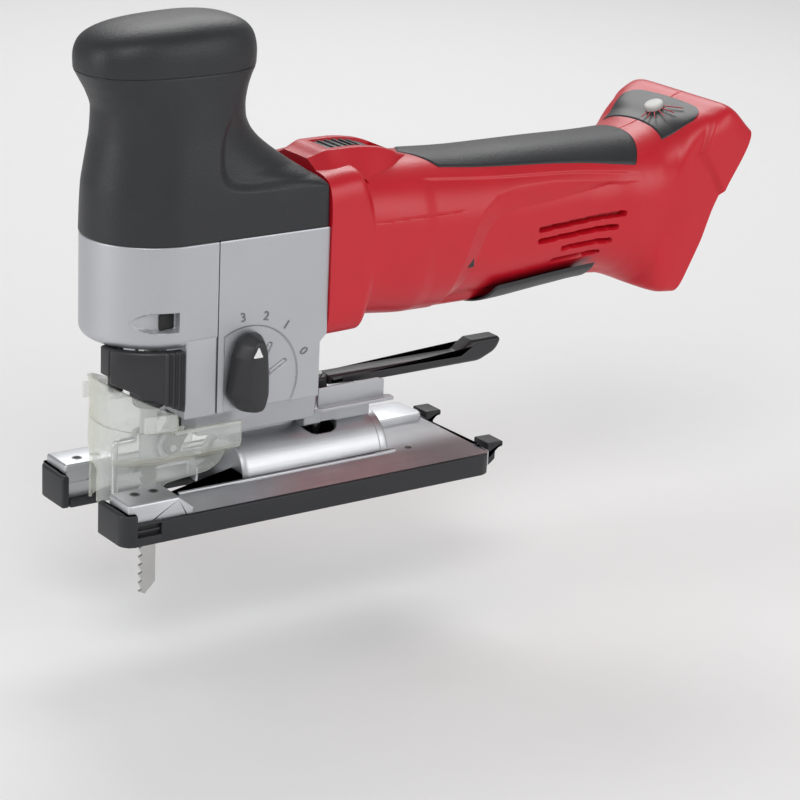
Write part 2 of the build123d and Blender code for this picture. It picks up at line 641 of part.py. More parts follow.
def sole_cover():
    """Black slip-on sole with side rails, front bumpers and rear clips."""
    body = block((COVER_FRONT, COVER_END), (-COVER_HALF, COVER_HALF), (0, SHOE_EDGE))
    body += block((COVER_FRONT, -12), (-COVER_HALF, COVER_HALF), (0, BUMPER_TOP))
    body -= block((SHOE_X[0], 200), (-SHOE_HALF, SHOE_HALF), (SHOE_LOW, 60))
    body -= block((-60, PRONG_END + 12), (-COVER_THROAT, COVER_THROAT), (-10, 60))
    body -= block((0, THROAT_END), (-5, 5), (-10, 60))
    body -= block(GUIDE_SLOT_X, (-60, 60), GUIDE_SLOT_Z)
    corners = body.edges().filter_by(Axis.Z).group_by(Axis.X)[0]
    body = fillet(corners.group_by(Axis.Y)[0] + corners.group_by(Axis.Y)[-1], 6.0)
    for side in (-1, 1):
        y = (side * 24 - 6, side * 24 + 6)
        body += block((COVER_END - 1, 170), y, (0, 3)) + block((157, 171), y, (2, 7.2))
    return body


# ---- tilt lock
def lock_lever():
    """Long flat lever with an upturned end, turning on the clamp bolt."""
    low, high = LOCK_Z
    points = [(BOLT_X + 4, low), (117, low), (171, low), (179, low + 3.5), (183, low + 10.5), (166.5, low + 10.5),
              (158.5, low + 5.7), (120, low + 5.7), (BOLT_X + 4, high)]
    body = side_prism(points, (-LOCK_HALF, LOCK_HALF)) + rod_z(BOLT_X, 0, (TAIL_Z[1] + PASS_GAP, high), 8.0)
    return body - rod_z(BOLT_X, 0, (TILT_Z, high + 1), BOLT_RADIUS)


def lock_bolt():
    """Clamp bolt with the nut plate that pulls on the inside of the barrel."""
    return rod_z(BOLT_X, 0, (14, LOCK_Z[1]), BOLT_RADIUS) + rod_z(BOLT_X, 0, (14, 18.5), 5.5)


def bracket():
    """Steel angle beside the tail, with a turned-out lower flange."""
    low = TAIL_Z[0] + 8
    plate = block((74, 110), (-15.5, -14), (low, 46)) + block((74, 106), (-14.5, -TAIL_HALF), (low, low + 1.5))
    flange_outline = make_face(Polyline([(72, -17.5), (74, -14), (110, -14), (113, -16), (113, -19.5), (74, -19.5)],
                                        close=True))
    return plate + extrude(Pos(0, 0, low) * flange_outline, 1.5)


# ---- nose mechanisms
def release_lever():
    """Curved lever that follows the nose, hinged at its front on a vertical pin."""
    plan = (nose_plan(-1.2) - nose_plan(2.0)) & (Pos(-31, -35) * Rectangle(60, 50))
    body = extrude(Pos(0, 0, 40) * plan, NOSE_BOTTOM - PASS_GAP - 40)
    slant = [(-40, 30), (10, 30), (LEVER_END + 1, 53), (-30, 66), (-40, 66)]
    body -= side_prism(slant, (-60, 0))
    x, y = LEVER_AXIS
    body += block((x - 8, x), (y - 6, y), (67, NOSE_BOTTOM - PASS_GAP)) & extrude(
        Pos(0, 0, 40) * nose_plan(-1.2), 50)
    body += rod_z(x, y, (58, NOSE_BOTTOM - PASS_GAP), 3.2)
    for index in range(4):
        edge = LEVER_END - 2 - index * 2.4
        body -= block((edge - 0.9, edge), (-60, -HALF_WIDTH - 0.4), (30, 90))
    return body - rod_z(x, y, (40, 90), LEVER_PIN + RUN_GAP)


def roller_fork():
    """Rocker that holds the guide roller against the back of the blade."""
    run, rise = FORK[0] - ROLLER[0], FORK[1] - ROLLER[1]
    angle = math.degrees(math.atan2(rise, run))
    arm_length = math.hypot(run, rise)
    middle = ((FORK[0] + ROLLER[0]) / 2, (FORK[1] + ROLLER[1]) / 2)
    body = rod_y(FORK[0], (-5.2, 5.2), FORK[1], 4.6)
    body += block((FORK[0] - 2.5, FORK[0] + 2.5), (-3, 3), (FORK[1], SELECTOR[1] + 1))
    for side in (-1, 1):
        y = sorted((side * 3.2, side * 5.2))
        arm = Pos(middle[0], sum(y) / 2, middle[1]) * Rot(0, -angle, 0) * Box(arm_length, 2.0, 6)
        body += arm + rod_y(ROLLER[0], y, ROLLER[1], 3.6)
    body -= rod_y(ROLLER[0], (-3.2, 3.2), ROLLER[1], ROLLER_RADIUS + 1.0)
    body -= rod_y(ROLLER[0], (-6, 6), ROLLER[1], ROLLER_PIN)
    return body - rod_y(FORK[0], (-6, 6), FORK[1], FORK_PIN + RUN_GAP)


def guide_roller():
    """Grooved roller behind the blade."""
    body = rod_y(ROLLER[0], (-3, 3), ROLLER[1], ROLLER_RADIUS)
    groove = rod_y(ROLLER[0], (-0.9, 0.9), ROLLER[1], ROLLER_RADIUS + 1) - rod_y(
        ROLLER[0], (-0.9, 0.9), ROLLER[1], ROLLER_GROOVE)
    return body - groove - rod_y(ROLLER[0], (-4, 4), ROLLER[1], ROLLER_PIN + RUN_GAP)


def selector_knob():
    """Orbit selector: a lobed lever that points at its number."""
    outer = -HALF_WIDTH - PASS_GAP
    reach = (outer - 10, outer)
    body = rod_y(0, reach, 0, 10.0) + rod_y(0, reach, 18, 6.5)
    body += side_prism([(-10, 0), (-6.5, 18), (6.5, 18), (10, 0)], reach)
    body = Pos(SELECTOR[0], 0, SELECTOR[1]) * Rot(0, SELECTOR_REST, 0) * body
    return body - rod_y(SELECTOR[0], (reach[0] + 3, 0), SELECTOR[1], SELECTOR_SHAFT)


def selector_shaft():
    """Shaft of the selector, with the cam that limits the fork."""
    outer = -HALF_WIDTH - PASS_GAP - 7
    shaft = rod_y(SELECTOR[0], (outer, 4), SELECTOR[1], SELECTOR_SHAFT)
    cam = rod_y(SELECTOR[0], (-3, 3), SELECTOR[1], 5.8)
    return shaft + (cam - block((SELECTOR[0] - 10, SELECTOR[0] + 10), (-5, 5), (SELECTOR[1] + 4, SELECTOR[1] + 10)))


def guard_section(height, centre, length, half, rear):
    """Rounded front with straight sides, at one height of the guard."""
    front = Pos(centre, 0) * Ellipse(length, half) & Pos(centre - 50, 0) * Rectangle(100, 2 * half + 2)
    body = Pos((centre + rear) / 2, 0) * Rectangle(rear - centre, 2 * half)
    return Pos(0, 0, height) * (front + body)


def guard_solid(inset):
    """Guard without its hollow: narrow between the prongs, flared above them."""
    rear = GUARD_REAR if inset == 0 else GUARD_REAR + 10
    narrow, wide, length = GUARD_NARROW - inset, GUARD_HALF - inset, GUARD_LENGTH - inset
    low = guard_section(24, -7, narrow, narrow, rear)
    middle = guard_section(32, -2, length - 4, wide, rear)
    high = guard_section(42.5, -2, length, wide, rear)
    body = loft([low, middle], ruled=True) + loft([middle, high], ruled=True)
    body += extrude(guard_section(8 - inset, -7, narrow, narrow, 0 if inset == 0 else rear), 16 + inset)
    body += extrude(guard_section(17 - inset, -7, narrow, narrow, rear), 7 + inset)
    collar = extrude(guard_section(42.5, -2, length, wide, LEVER_END if inset == 0 else rear), 30)
    above = [(-60, 79.2), (LEVER_END, 50.3), (60, 20.1), (60, 100), (-60, 100)]
    return body + (collar if inset else collar - side_prism(above, (-60, 60)))


def blade_guard():
    """Clear cover round the blade, open at the back, top and bottom."""
    body = guard_solid(0.0) - guard_solid(GUARD_WALL)
    return body - block((-40, -15), (-3.5, 3.5), (0, 20)) - rod_x((-40, -15), 0, 20, 3.5)


def wire_guard():
    """Bent wire in front of the blade."""
    route = FilletPolyline([(WIRE_X, 0, 10), (WIRE_X, 0, 32), (-9.0, 0, 32), (-9.0, 10.5, 32), (FOOT_X[0], 10.5, 37.5)],
                           radius=2.5)
    start = Plane(origin=(WIRE_X, 0, 10), z_dir=(0, 0, 1))
    return sweep(start * Circle(WIRE_RADIUS), path=route)


# ---- writing the pieces
def save(name, shape):
    """Write one piece, which may be one solid or a list of separate solids."""
    solids = shape if isinstance(shape, list) else list(shape.solids())
    parts = []
    for item in solids:
        parts += list(item.solids())
    export_step(parts[0] if len(parts) == 1 else Compound(children=parts), f"parts/{name}.step")


def main():
    """Build and write every piece."""
    os.makedirs("parts", exist_ok=True)
    save("gear_housing", gear_housing())
    save("front_cover", front_cover())
    save("gear_plate", gear_plate())
    save("lower_bush", bush(LOWER_BUSH))
    save("upper_bush", bush(UPPER_BUSH))
    save("crank_axle", rod_x((GEAR_X[0], PLATE_X[1]), 0, CRANK_Z, AXLE_RADIUS))
    save("grip_head", grip_head())
    save("knob_cap", knob_cap())
    shells = motor_housing()
    save("motor_housing_left", shells & block((0, 400), (-80, 0), (0, 250)))
    save("motor_housing_right", shells & block((0, 400), (0, 80), (0, 250)))
    save("top_grip", grip_skin(0.0))
    save("bottom_insert", insert_skin(0.0))
    save("dial_panel", dial_panel())
    save("housing_screws", housing_screws())
    save("motor_can", motor_can())
    save("motor_magnets", motor_magnets())
    save("motor_brushes", motor_brushes())
    save("front_bearing", bearing(PLATE_X))
    save("rear_bearing", bearing(REAR_BEARING_X))
    save("bearing_holder", bearing_holder())
    save("switch_body", block((82, 106), (-9, 9), (122.5, 137)))
    save("electronics_module", block((160, 196), (-16, 16), (84, 124)))
    save("battery_rails", battery_rails())
    save("terminal_block", terminal_block())
    save("foot_bracket", bracket())
    save("fork_pin", rod_y(FORK[0], (-12, 12), FORK[1], FORK_PIN))
    save("lever_pin", rod_z(*LEVER_AXIS, (57, NOSE_BOTTOM + NOSE_FLOOR), LEVER_PIN))
    save("wire_guard", wire_guard())
    save("plunger_rod", rod_z(0, 0, (BLADE_TOP + 1, ROD_TOP), ROD_RADIUS))
    save("yoke", yoke())
    save("blade_clamp", blade_clamp())
    save("saw_blade", blade())
    save("crank_gear", crank_gear())
    save("crank_pin", crank_pin())
    save("armature_shaft", rod_x((GEAR_X[0], REAR_BEARING_X[1]), 0, MOTOR_Z, SHAFT_RADIUS))
    save("armature_core", rod_x(CORE_X, 0, MOTOR_Z, CORE_RADIUS) - rod_x(CORE_X, 0, MOTOR_Z, SHAFT_RADIUS))
    save("armature_windings", armature_windings())
    save("commutator", rod_x(COMMUTATOR_X, 0, MOTOR_Z, COMMUTATOR_RADIUS) - rod_x(
        COMMUTATOR_X, 0, MOTOR_Z, SHAFT_RADIUS))
    save("motor_fan", fan())
    save("drive_pinion", spur_gear(PINION_TEETH, 90, GEAR_X, 0, MOTOR_Z, SHAFT_RADIUS))
    save("release_lever", release_lever())
    save("selector_knob", selector_knob())
    save("selector_shaft", selector_shaft())
    save("roller_fork", roller_fork())
    save("roller_pin", rod_y(ROLLER[0], (-5.2, 5.2), ROLLER[1], ROLLER_PIN))
    save("guide_roller", guide_roller())
    save("shoe", shoe())
    save("sole_cover", sole_cover())
    save("lock_lever", lock_lever())
    save("lock_bolt", lock_bolt())
    save("blade_guard", blade_guard())
    save("slide_switch", slide_switch())
    save("speed_dial", speed_dial())


main()
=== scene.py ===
import json
import math

import bmesh
import bpy
import numpy as np
from mathutils import Matrix, Vector


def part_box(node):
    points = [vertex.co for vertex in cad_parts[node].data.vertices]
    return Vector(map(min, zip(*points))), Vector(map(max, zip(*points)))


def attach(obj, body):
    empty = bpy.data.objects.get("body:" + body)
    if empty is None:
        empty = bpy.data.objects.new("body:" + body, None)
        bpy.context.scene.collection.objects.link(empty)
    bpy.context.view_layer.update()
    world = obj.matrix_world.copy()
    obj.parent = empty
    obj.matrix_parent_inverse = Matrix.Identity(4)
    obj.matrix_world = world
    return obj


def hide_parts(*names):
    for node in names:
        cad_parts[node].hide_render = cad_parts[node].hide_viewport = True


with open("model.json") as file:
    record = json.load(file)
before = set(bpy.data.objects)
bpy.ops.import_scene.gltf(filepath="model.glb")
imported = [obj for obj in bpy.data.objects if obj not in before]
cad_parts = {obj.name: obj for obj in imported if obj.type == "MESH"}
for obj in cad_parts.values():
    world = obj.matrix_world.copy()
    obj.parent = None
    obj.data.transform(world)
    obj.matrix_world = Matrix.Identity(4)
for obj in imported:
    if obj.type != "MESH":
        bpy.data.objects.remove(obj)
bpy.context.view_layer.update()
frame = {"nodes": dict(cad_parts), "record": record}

MM = 0.001
TAU = 2 * math.pi

# ---------------------------------------------------------------- sizes, in millimetres
LOW, HIGH = {}, {}
for node_name in frame["nodes"]:
    low_corner, high_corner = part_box(node_name)
    LOW[node_name] = np.array(low_corner) / MM
    HIGH[node_name] = np.array(high_corner) / MM

HOUSING_TOP = HIGH["gear_housing"][2]
HOUSING_REAR = 69.3
HALF_WIDTH = HIGH["gear_housing"][1]
SHOE_HALF = HIGH["shoe"][1]
SHOE_FRONT = LOW["shoe"][0]
SHOE_REAR = HIGH["shoe"][0]
PAD_TOP = 18.2
SHOE_TOP = 12.8
SOLE = 3.0
COVER_HALF = HIGH["sole_cover"][1]
COVER_FRONT = LOW["sole_cover"][0]
NOSE_X, NOSE_LENGTH = 0.75, 30.7
NOSE_BOTTOM = 79.5
SEAM_X = 15.5
CASE_BOTTOM = 48.6
SELECTOR = (31.0, 61.0)
SELECTOR_DISC, FIGURE_RING = 24.4, 28.4
PLUNGER_OPENING = 10.5
BARREL_Z, BARREL_RADIUS, BARREL_FRONT, BARREL_REAR = 10.0, 15.2, 38.4, 107.8
LOCK_X = 84.0
SIDES = ((-1, "left"), (1, "right"))


# ---------------------------------------------------------------- curves and meshes
def blend(at, knots, values):
    """Smooth curve through (knots, values) with no overshoot: a cubic on each span, whose end slopes are
    the harmonic mean of the slopes either side, and zero at a peak."""
    knots, values = np.asarray(knots, float), np.asarray(values, float)
    span = np.diff(knots)
    slope = np.diff(values) / span
    same_way = slope[1:] * slope[:-1] > 0
    inner = np.where(same_way, 2 * slope[1:] * slope[:-1] / np.where(same_way, slope[1:] + slope[:-1], 1), 0)
    ends = np.concatenate([[slope[0]], inner, [slope[-1]]])
    at = np.clip(at, knots[0], knots[-1])
    cell = np.clip(np.searchsorted(knots, at, side="right") - 1, 0, len(span) - 1)
    h, t = span[cell], (at - knots[cell]) / span[cell]
    return ((1 + 2 * t) * (1 - t) ** 2 * values[cell] + t * (1 - t) ** 2 * h * ends[cell]
            + t * t * (3 - 2 * t) * values[cell + 1] + t * t * (t - 1) * h * ends[cell + 1])


def ease(x, start, end):
    """0 before start, 1 after end, and a smooth S between them."""
    t = np.clip((x - start) / (end - start), 0, 1)
    return t * t * (3 - 2 * t)


def rounded(corners, steps=7):
    """Closed outline with each corner (a, b, radius) replaced by the arc that touches both its sides."""
    corners = np.array(corners, float)
    here, radius = corners[:, :2], np.maximum(corners[:, 2], 0.02)
    to_last, to_next = np.roll(here, 1, 0) - here, np.roll(here, -1, 0) - here
    to_last /= np.linalg.norm(to_last, axis=1, keepdims=True)
    to_next /= np.linalg.norm(to_next, axis=1, keepdims=True)
    half = 0.5 * np.arccos(np.clip((to_last * to_next).sum(1), -1, 0.999))
    half = np.minimum(half, math.pi / 2 - 1e-3)
    middle = to_last + to_next
    middle /= np.maximum(np.linalg.norm(middle, axis=1, keepdims=True), 1e-9)
    centre = here + middle * (radius / np.sin(half))[:, None]
    start = here + to_last * (radius / np.tan(half))[:, None] - centre
    side = np.sign(-to_last[:, 0] * to_next[:, 1] + to_last[:, 1] * to_next[:, 0])
    turn = side[:, None] * (math.pi - 2 * half)[:, None] * np.linspace(0, 1, steps)[None]
    x = centre[:, :1] + start[:, :1] * np.cos(turn) - start[:, 1:] * np.sin(turn)
    y = centre[:, 1:] + start[:, :1] * np.sin(turn) + start[:, 1:] * np.cos(turn)
    return np.stack([x.ravel(), y.ravel()], 1)


def outward(outline):
    """Outward offset direction at each point of a closed outline, long enough to keep both sides parallel."""
    area = np.sum(outline[:, 0] * np.roll(outline[:, 1], -1) - np.roll(outline[:, 0], -1) * outline[:, 1])
    along = np.roll(outline, -1, 0) - outline
    length = np.linalg.norm(along, axis=1, keepdims=True)
    along = along / np.maximum(length, 1e-9)
    normal = np.stack([along[:, 1], -along[:, 0]], 1) * np.sign(area)
    last = np.roll(normal, 1, 0)
    both = normal + last
    return both / np.maximum((both * normal).sum(1, keepdims=True), 0.35)


def put(name, data):
    """New object in the scene that holds a mesh, lamp or camera."""
    holder = bpy.data.objects.new(name, data)
    bpy.context.scene.collection.objects.link(holder)
    return holder


def build(name, points, faces, body, finish, node=None, sharp=38.0, shut=True):
    """Mesh piece from points in millimetres, with smooth shading up to the sharp angle."""
    mesh = bpy.data.meshes.new(name)
    mesh.from_pydata(np.asarray(points, float) * MM, [], faces)
    if shut:
        work = bmesh.new()
        work.from_mesh(mesh)
        bmesh.ops.remove_doubles(work, verts=work.verts, dist=1e-6)
        bmesh.ops.recalc_face_normals(work, faces=work.faces)
        work.to_mesh(mesh)
        work.free()
    mesh.shade_smooth()
    mesh.set_sharp_from_angle(angle=math.radians(sharp))
    piece = put(name, mesh)
    mesh.materials.append(finish.material)
    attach(piece, body)
    if node:
        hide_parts(*([node] if isinstance(node, str) else node))
    return piece


def grid_faces(rows, columns, ring):
    """Quads of a grid whose rows close into rings, or stay open."""
    last = columns if ring else columns - 1
    row, column = np.meshgrid(np.arange(rows - 1), np.arange(last), indexing="ij")
    beside = (column + 1) % columns
    quads = [row * columns + column, row * columns + beside,
             (row + 1) * columns + beside, (row + 1) * columns + column]
    return np.stack(quads, -1).reshape(-1, 4)


def loft(name, rings, body, finish, node=None, caps=(True, True), ring=True, sharp=38.0, keep=None):
    """Skin over rows of points shaped (rows, columns, 3), with a flat cap at either end."""
    rings = np.asarray(rings, float)
    rows, columns = rings.shape[:2]
    faces = grid_faces(rows, columns, ring)
    if keep is not None:
        faces = faces[keep(rings.reshape(-1, 3)[faces].mean(1))]
    faces = faces.tolist()
    if caps[0]:
        faces.append(list(range(columns))[::-1])
    if caps[1]:
        faces.append(list(range((rows - 1) * columns, rows * columns)))
    return build(name, rings.reshape(-1, 3), faces, body, finish, node, sharp, shut=ring)


def plate(name, outline, low, high, axis, body, finish, node=None, bevel=0.8, base=None, sharp=38.0):
    """Flat piece: a closed outline drawn out along an axis. The outline is in (y, z) for axis x, (x, z) for
    axis y and (x, y) for axis z. Edges are quarter-round: bevel at high, base at low; a bevel given as
    (inset, drop) is a flat slope instead."""
    base = bevel if base is None else base
    outline, out = np.asarray(outline, float), outward(np.asarray(outline, float))
    angle = np.linspace(0, math.pi / 2, 4)
    foot = (low + base * (1 - np.sin(angle[::-1])), base * (1 - np.cos(angle[::-1])))
    crown = (high - bevel * (1 - np.sin(angle)), bevel * (1 - np.cos(angle))) if np.isscalar(bevel) else (
        np.array([high - bevel[1], high - 0.3, high]), np.array([0.0, bevel[0] - 0.5, bevel[0]]))
    heights, inset = np.concatenate([foot[0], crown[0]]), np.concatenate([foot[1], crown[1]])
    flat = outline[None] - out[None] * inset[:, None, None]
    level = np.broadcast_to(heights[:, None, None], flat.shape[:2] + (1,))
    return loft(name, swap(np.concatenate([flat, level], 2), axis), body, finish, node, sharp=sharp)


def swap(local, axis):
    """(a, b, height) of a plate turned into x, y, z."""
    a, b, height = local[..., 0], local[..., 1], local[..., 2]
    return np.stack({"x": (height, a, b), "y": (a, height, b), "z": (a, b, height)}[axis], -1)


def circle(x, y, radius, count=48, start=0.0):
    """Outline of a circle."""
    angle = start + np.arange(count) * TAU / count
    return np.stack([x + radius * np.cos(angle), y + radius * np.sin(angle)], 1)


def box_outline(low_a, high_a, low_b, high_b, radius):
    """Rectangle with one corner radius."""
    return rounded([(low_a, low_b, radius), (high_a, low_b, radius),
                    (high_a, high_b, radius), (low_a, high_b, radius)])


def mirrored(side, corners, steps=7):
    """Rounded outline whose corners (x, y, radius) are given for the right (side 1); side -1 is the left."""
    return rounded([(x, side * y, radius) for x, y, radius in corners], steps)


def wire(name, path, radius, body, finish, node=None, around=16):
    """Round wire: a circle carried along a path, turned as little as possible from point to point."""
    path = np.asarray(path, float)
    along = np.gradient(path, axis=0)
    along /= np.linalg.norm(along, axis=1, keepdims=True)
    side = np.cross(along, np.array([0.13, 0.29, 0.95]))
    side /= np.linalg.norm(side, axis=1, keepdims=True)
    over = np.cross(side, along)
    angle = np.arange(around) * TAU / around
    ring = side[:, None] * np.cos(angle)[None, :, None] + over[:, None] * np.sin(angle)[None, :, None]
    return loft(name, path[:, None] + radius * ring, body, finish, node)


# ---------------------------------------------------------------- finishes
class Link:
    """A number that runs through the shader: sums, products and powers add their own Math nodes."""

    def __init__(self, finish, socket):
        self.finish, self.socket = finish, socket

    def math(self, operation, first, second=0.0):
        return self.finish.add("Math", {"operation": operation}, {0: first, 1: second})

    def __add__(self, other):
        return self.math("ADD", self, other)

    def __mul__(self, other):
        return self.math("MULTIPLY", self, other)

    def __pow__(self, other):
        return self.math("POWER", self, other)

    __radd__, __rmul__ = __add__, __mul__


class Finish:
    """One material, with its record slot and the pattern space of its pieces."""

    def __init__(self, name, slot=None, **surface):
        self.slot = slot
        self.material = bpy.data.materials.new(name)
        self.material.use_nodes = True
        self.nodes = self.material.node_tree.nodes
        self.shader = self.nodes["Principled BSDF"]
        self.place = self.add("TexCoord", {}, {}, "Object")
        self.set(**surface)

    def add(self, kind, settings, inputs, output=0):
        """Adds one node: its settings first, then a value or link for each socket."""
        node = self.nodes.new("ShaderNode" + kind)
        for key, value in settings.items():
            if key == "stops":
                for index, (position, colour) in enumerate(value):
                    ramp = node.color_ramp.elements
                    stop = ramp[index] if index < len(ramp) else ramp.new(position)
                    stop.position, stop.color = position, tuple(colour) + (1,)
            else:
                setattr(node, key, value)
        for key, value in inputs.items():
            self.join(node.inputs[key], value)
        return Link(self, node.outputs[output])

    def join(self, socket, value):
        """Links a socket, or sets its value."""
        if isinstance(value, Link):
            self.material.node_tree.links.new(value.socket, socket)
        else:
            socket.default_value = value

    def set(self, **surface):
        """Sets or links inputs of the main shader, named with underscores for spaces."""
        for key, value in surface.items():
            self.join(self.shader.inputs[key.replace("_", " ").title().replace("Ior", "IOR")], value)

    def noise(self, size, detail=3.0, stretch=(1, 1, 1), roughness=0.5):
        """Cloudy pattern with features of the given size in millimetres, drawn out by stretch."""
        spot = self.add("Mapping", {}, {"Vector": self.place, "Scale": tuple(1 / (s * MM * size) for s in stretch)})
        return self.add("TexNoise", {}, {"Vector": spot, "Scale": 1.0, "Detail": detail, "Roughness": roughness})

    def pebble(self, size):
        """Rounded cells of the given size in millimetres."""
        spot = self.add("Mapping", {}, {"Vector": self.place, "Scale": (1 / (MM * size),) * 3})
        return self.add("TexVoronoi", {"feature": "SMOOTH_F1"}, {"Vector": spot, "Scale": 1.0, "Smoothness": 0.6})

    def tint(self, amount, first, second):
        """Colour between two, by an amount from 0 to 1."""
        return self.add("ValToRGB", {"stops": [(0.0, first), (1.0, second)]}, {"Fac": amount}, "Color")

    def bump(self, height, depth):
        """Surface relief whose full height is depth millimetres."""
        self.set(normal=self.add("Bump", {}, {"Height": height, "Strength": 1.0, "Distance": depth * MM}))


def shade(colour, factor):
    """A colour made lighter or darker."""
    return tuple(min(1.0, part * factor) for part in colour)


def moulded(name, slot, colour, rough, grain, depth, spread=0.12):
    """Moulded plastic: spark-eroded grain, faint mottling and slightly uneven gloss."""
    finish = Finish(name, slot)
    cloud, fine = finish.noise(14.0, 4.0), finish.noise(grain, 2.0)
    finish.set(base_color=finish.tint(cloud, shade(colour, 1 - spread), shade(colour, 1 + spread)),
               roughness=rough - 0.06 + 0.08 * cloud + 0.06 * fine)
    finish.bump(fine, depth)
    return finish


def soft_touch(name, slot, colour):
    """Soft rubber skin: fine pebble grain under a broad dull sheen, a little polished in patches."""
    finish = Finish(name, slot, specular_ior_level=0.42)
    cloud, grain, fine = finish.noise(18.0, 4.0), finish.pebble(0.85), finish.noise(0.35, 2.0)
    finish.set(base_color=finish.tint(cloud, shade(colour, 0.82), shade(colour, 1.25)),
               roughness=0.38 + 0.1 * cloud + 0.05 * grain)
    finish.bump(grain * 0.7 + fine * 0.3, 0.11)
    return finish


def silver_paint(name, slot, colour):
    """Metallic lacquer: tiny flakes that catch the light, over a very slight orange peel."""
    finish = Finish(name, slot, metallic=0.72, coat_weight=0.12, coat_roughness=0.25)
    flake, cloud = finish.noise(0.22, 1.0), finish.noise(20.0, 3.0)
    finish.set(base_color=finish.tint(flake * 0.8 + cloud * 0.2, shade(colour, 0.84), shade(colour, 1.14)),
               roughness=0.36 + 0.1 * flake + 0.05 * cloud)
    finish.bump(flake * 0.5 + finish.noise(1.6, 2.0) * 0.5, 0.03)
    return finish


def machined(name, slot, colour, rough, stretch, streak=0.7, depth=0.02, metallic=1.0):
    """Cut or brushed metal: long fine streaks in one direction, with dull and bright patches."""
    finish = Finish(name, slot, metallic=metallic)
    lines, cloud = finish.noise(streak, 3.0, stretch), finish.noise(12.0, 4.0)
    finish.set(base_color=finish.tint(lines * 0.5 + cloud * 0.5, shade(colour, 0.8), shade(colour, 1.16)),
               roughness=rough - 0.08 + 0.14 * lines + 0.06 * cloud)
    finish.bump(lines, depth)
    return finish


def cast_metal(name, slot, colour, rough, grain, depth, metallic=1.0):
    """Sand or die casting: a pebbly skin with cloudy tone."""
    finish = Finish(name, slot, metallic=metallic)
    skin, cloud = finish.noise(grain, 4.0, roughness=0.6), finish.noise(9.0, 4.0)
    finish.set(base_color=finish.tint(skin * 0.4 + cloud * 0.6, shade(colour, 0.8), shade(colour, 1.15)),
               roughness=rough - 0.06 + 0.12 * skin)
    finish.bump(skin, depth)
    return finish


def clear_plastic(name, slot):
    """Clear moulded cover: see-through face on, glossier and milkier at a slant, with faint haze."""
    finish = Finish(name, slot, specular_ior_level=0.7)
    haze = finish.noise(6.0, 4.0)
    finish.set(roughness=0.06 + 0.1 * haze)
    slant = finish.add("LayerWeight", {}, {"Blend": 0.32}, "Facing")
    finish.set(base_color=finish.tint(slant, (0.84, 0.88, 0.87), (0.72, 0.7, 0.52)),
               alpha=0.18 + 0.08 * haze + 0.7 * slant ** 1.4)
    finish.bump(finish.noise(2.5, 2.0), 0.02)
    return finish


RED = (0.56, 0.006, 0.018)
CHARCOAL = (0.021, 0.022, 0.025)
red_plastic = moulded("red_plastic", "red_plastic", RED, 0.36, 0.55, 0.035, 0.07)
soft_black = soft_touch("soft_black", "soft_black", CHARCOAL)
black_plastic = moulded("black_plastic", "black_plastic", (0.022, 0.022, 0.025), 0.4, 0.5, 0.03)
grey_plastic = moulded("grey_plastic", "grey_plastic", (0.62, 0.62, 0.6), 0.45, 0.5, 0.02, 0.05)
silver = silver_paint("silver_paint", "silver_paint", (0.5, 0.51, 0.535))
# darker silver: painted shade, standing in for the shadowed outlines of engraved figures and the shade in the pad
# dimples
shaded_silver = silver_paint("silver_painted_shade", "silver_paint", (0.2, 0.205, 0.21))
shoe_alloy = machined("shoe_alloy", "shoe_alloy", (0.62, 0.63, 0.65), 0.42, (30, 1, 1), 0.6, 0.025)
cast_alloy = cast_metal("cast_alloy", "cast_alloy", (0.5, 0.5, 0.51), 0.5, 1.0, 0.06)
bronze = machined("bronze", "bronze", (0.55, 0.38, 0.18), 0.4, (1, 1, 12))
steel = machined("steel", "steel", (0.55, 0.55, 0.56), 0.32, (14, 14, 1), 0.5)
wire_steel = machined("wire_steel", "wire_steel", (0.62, 0.62, 0.63), 0.22, (1, 1, 6), 0.8)
dark_steel = machined("dark_steel", "dark_steel", (0.10, 0.10, 0.105), 0.42, (3, 3, 1), 0.6, 0.03)
blade_steel = machined("blade_steel", "blade_steel", (0.6, 0.6, 0.59), 0.34, (18, 1, 1), 0.35, 0.03)
core_steel = machined("core_steel", "core_steel", (0.3, 0.3, 0.31), 0.45, (1, 40, 40), 0.4, 0.06)
magnet = cast_metal("magnet", "magnet", (0.07, 0.07, 0.075), 0.6, 0.8, 0.05, 0.0)
carbon = cast_metal("carbon", "carbon", (0.03, 0.03, 0.03), 0.55, 0.4, 0.04, 0.0)
copper = machined("copper", "copper", (0.6, 0.27, 0.12), 0.36, (20, 1, 1), 0.5, 0.06)
clear_guard = clear_plastic("clear_guard", "clear_guard")
white_print = moulded("white_print", None, (0.8, 0.8, 0.8), 0.5, 0.4, 0.01, 0.04)
red_print = moulded("red_print", None, (0.5, 0.03, 0.04), 0.5, 0.4, 0.01, 0.08)
# near-black: painted shade, for plates and discs put in openings and holes where only shade is seen
hollow_shade = moulded("hollow_shade", None, (0.01, 0.01, 0.011), 0.6, 0.6, 0.03)

CARRIED = {finish.slot: finish for finish in (
    silver, cast_alloy, shoe_alloy, bronze, steel, wire_steel, dark_steel, blade_steel, core_steel, magnet, carbon,
    copper, red_plastic, soft_black, black_plastic, grey_plastic, clear_guard)}
for part in frame["record"]["subparts"]:
    solid = frame["nodes"][part["node"]]
    solid.data.materials.clear()
    solid.data.materials.append(CARRIED[part["material_slot"]].material)


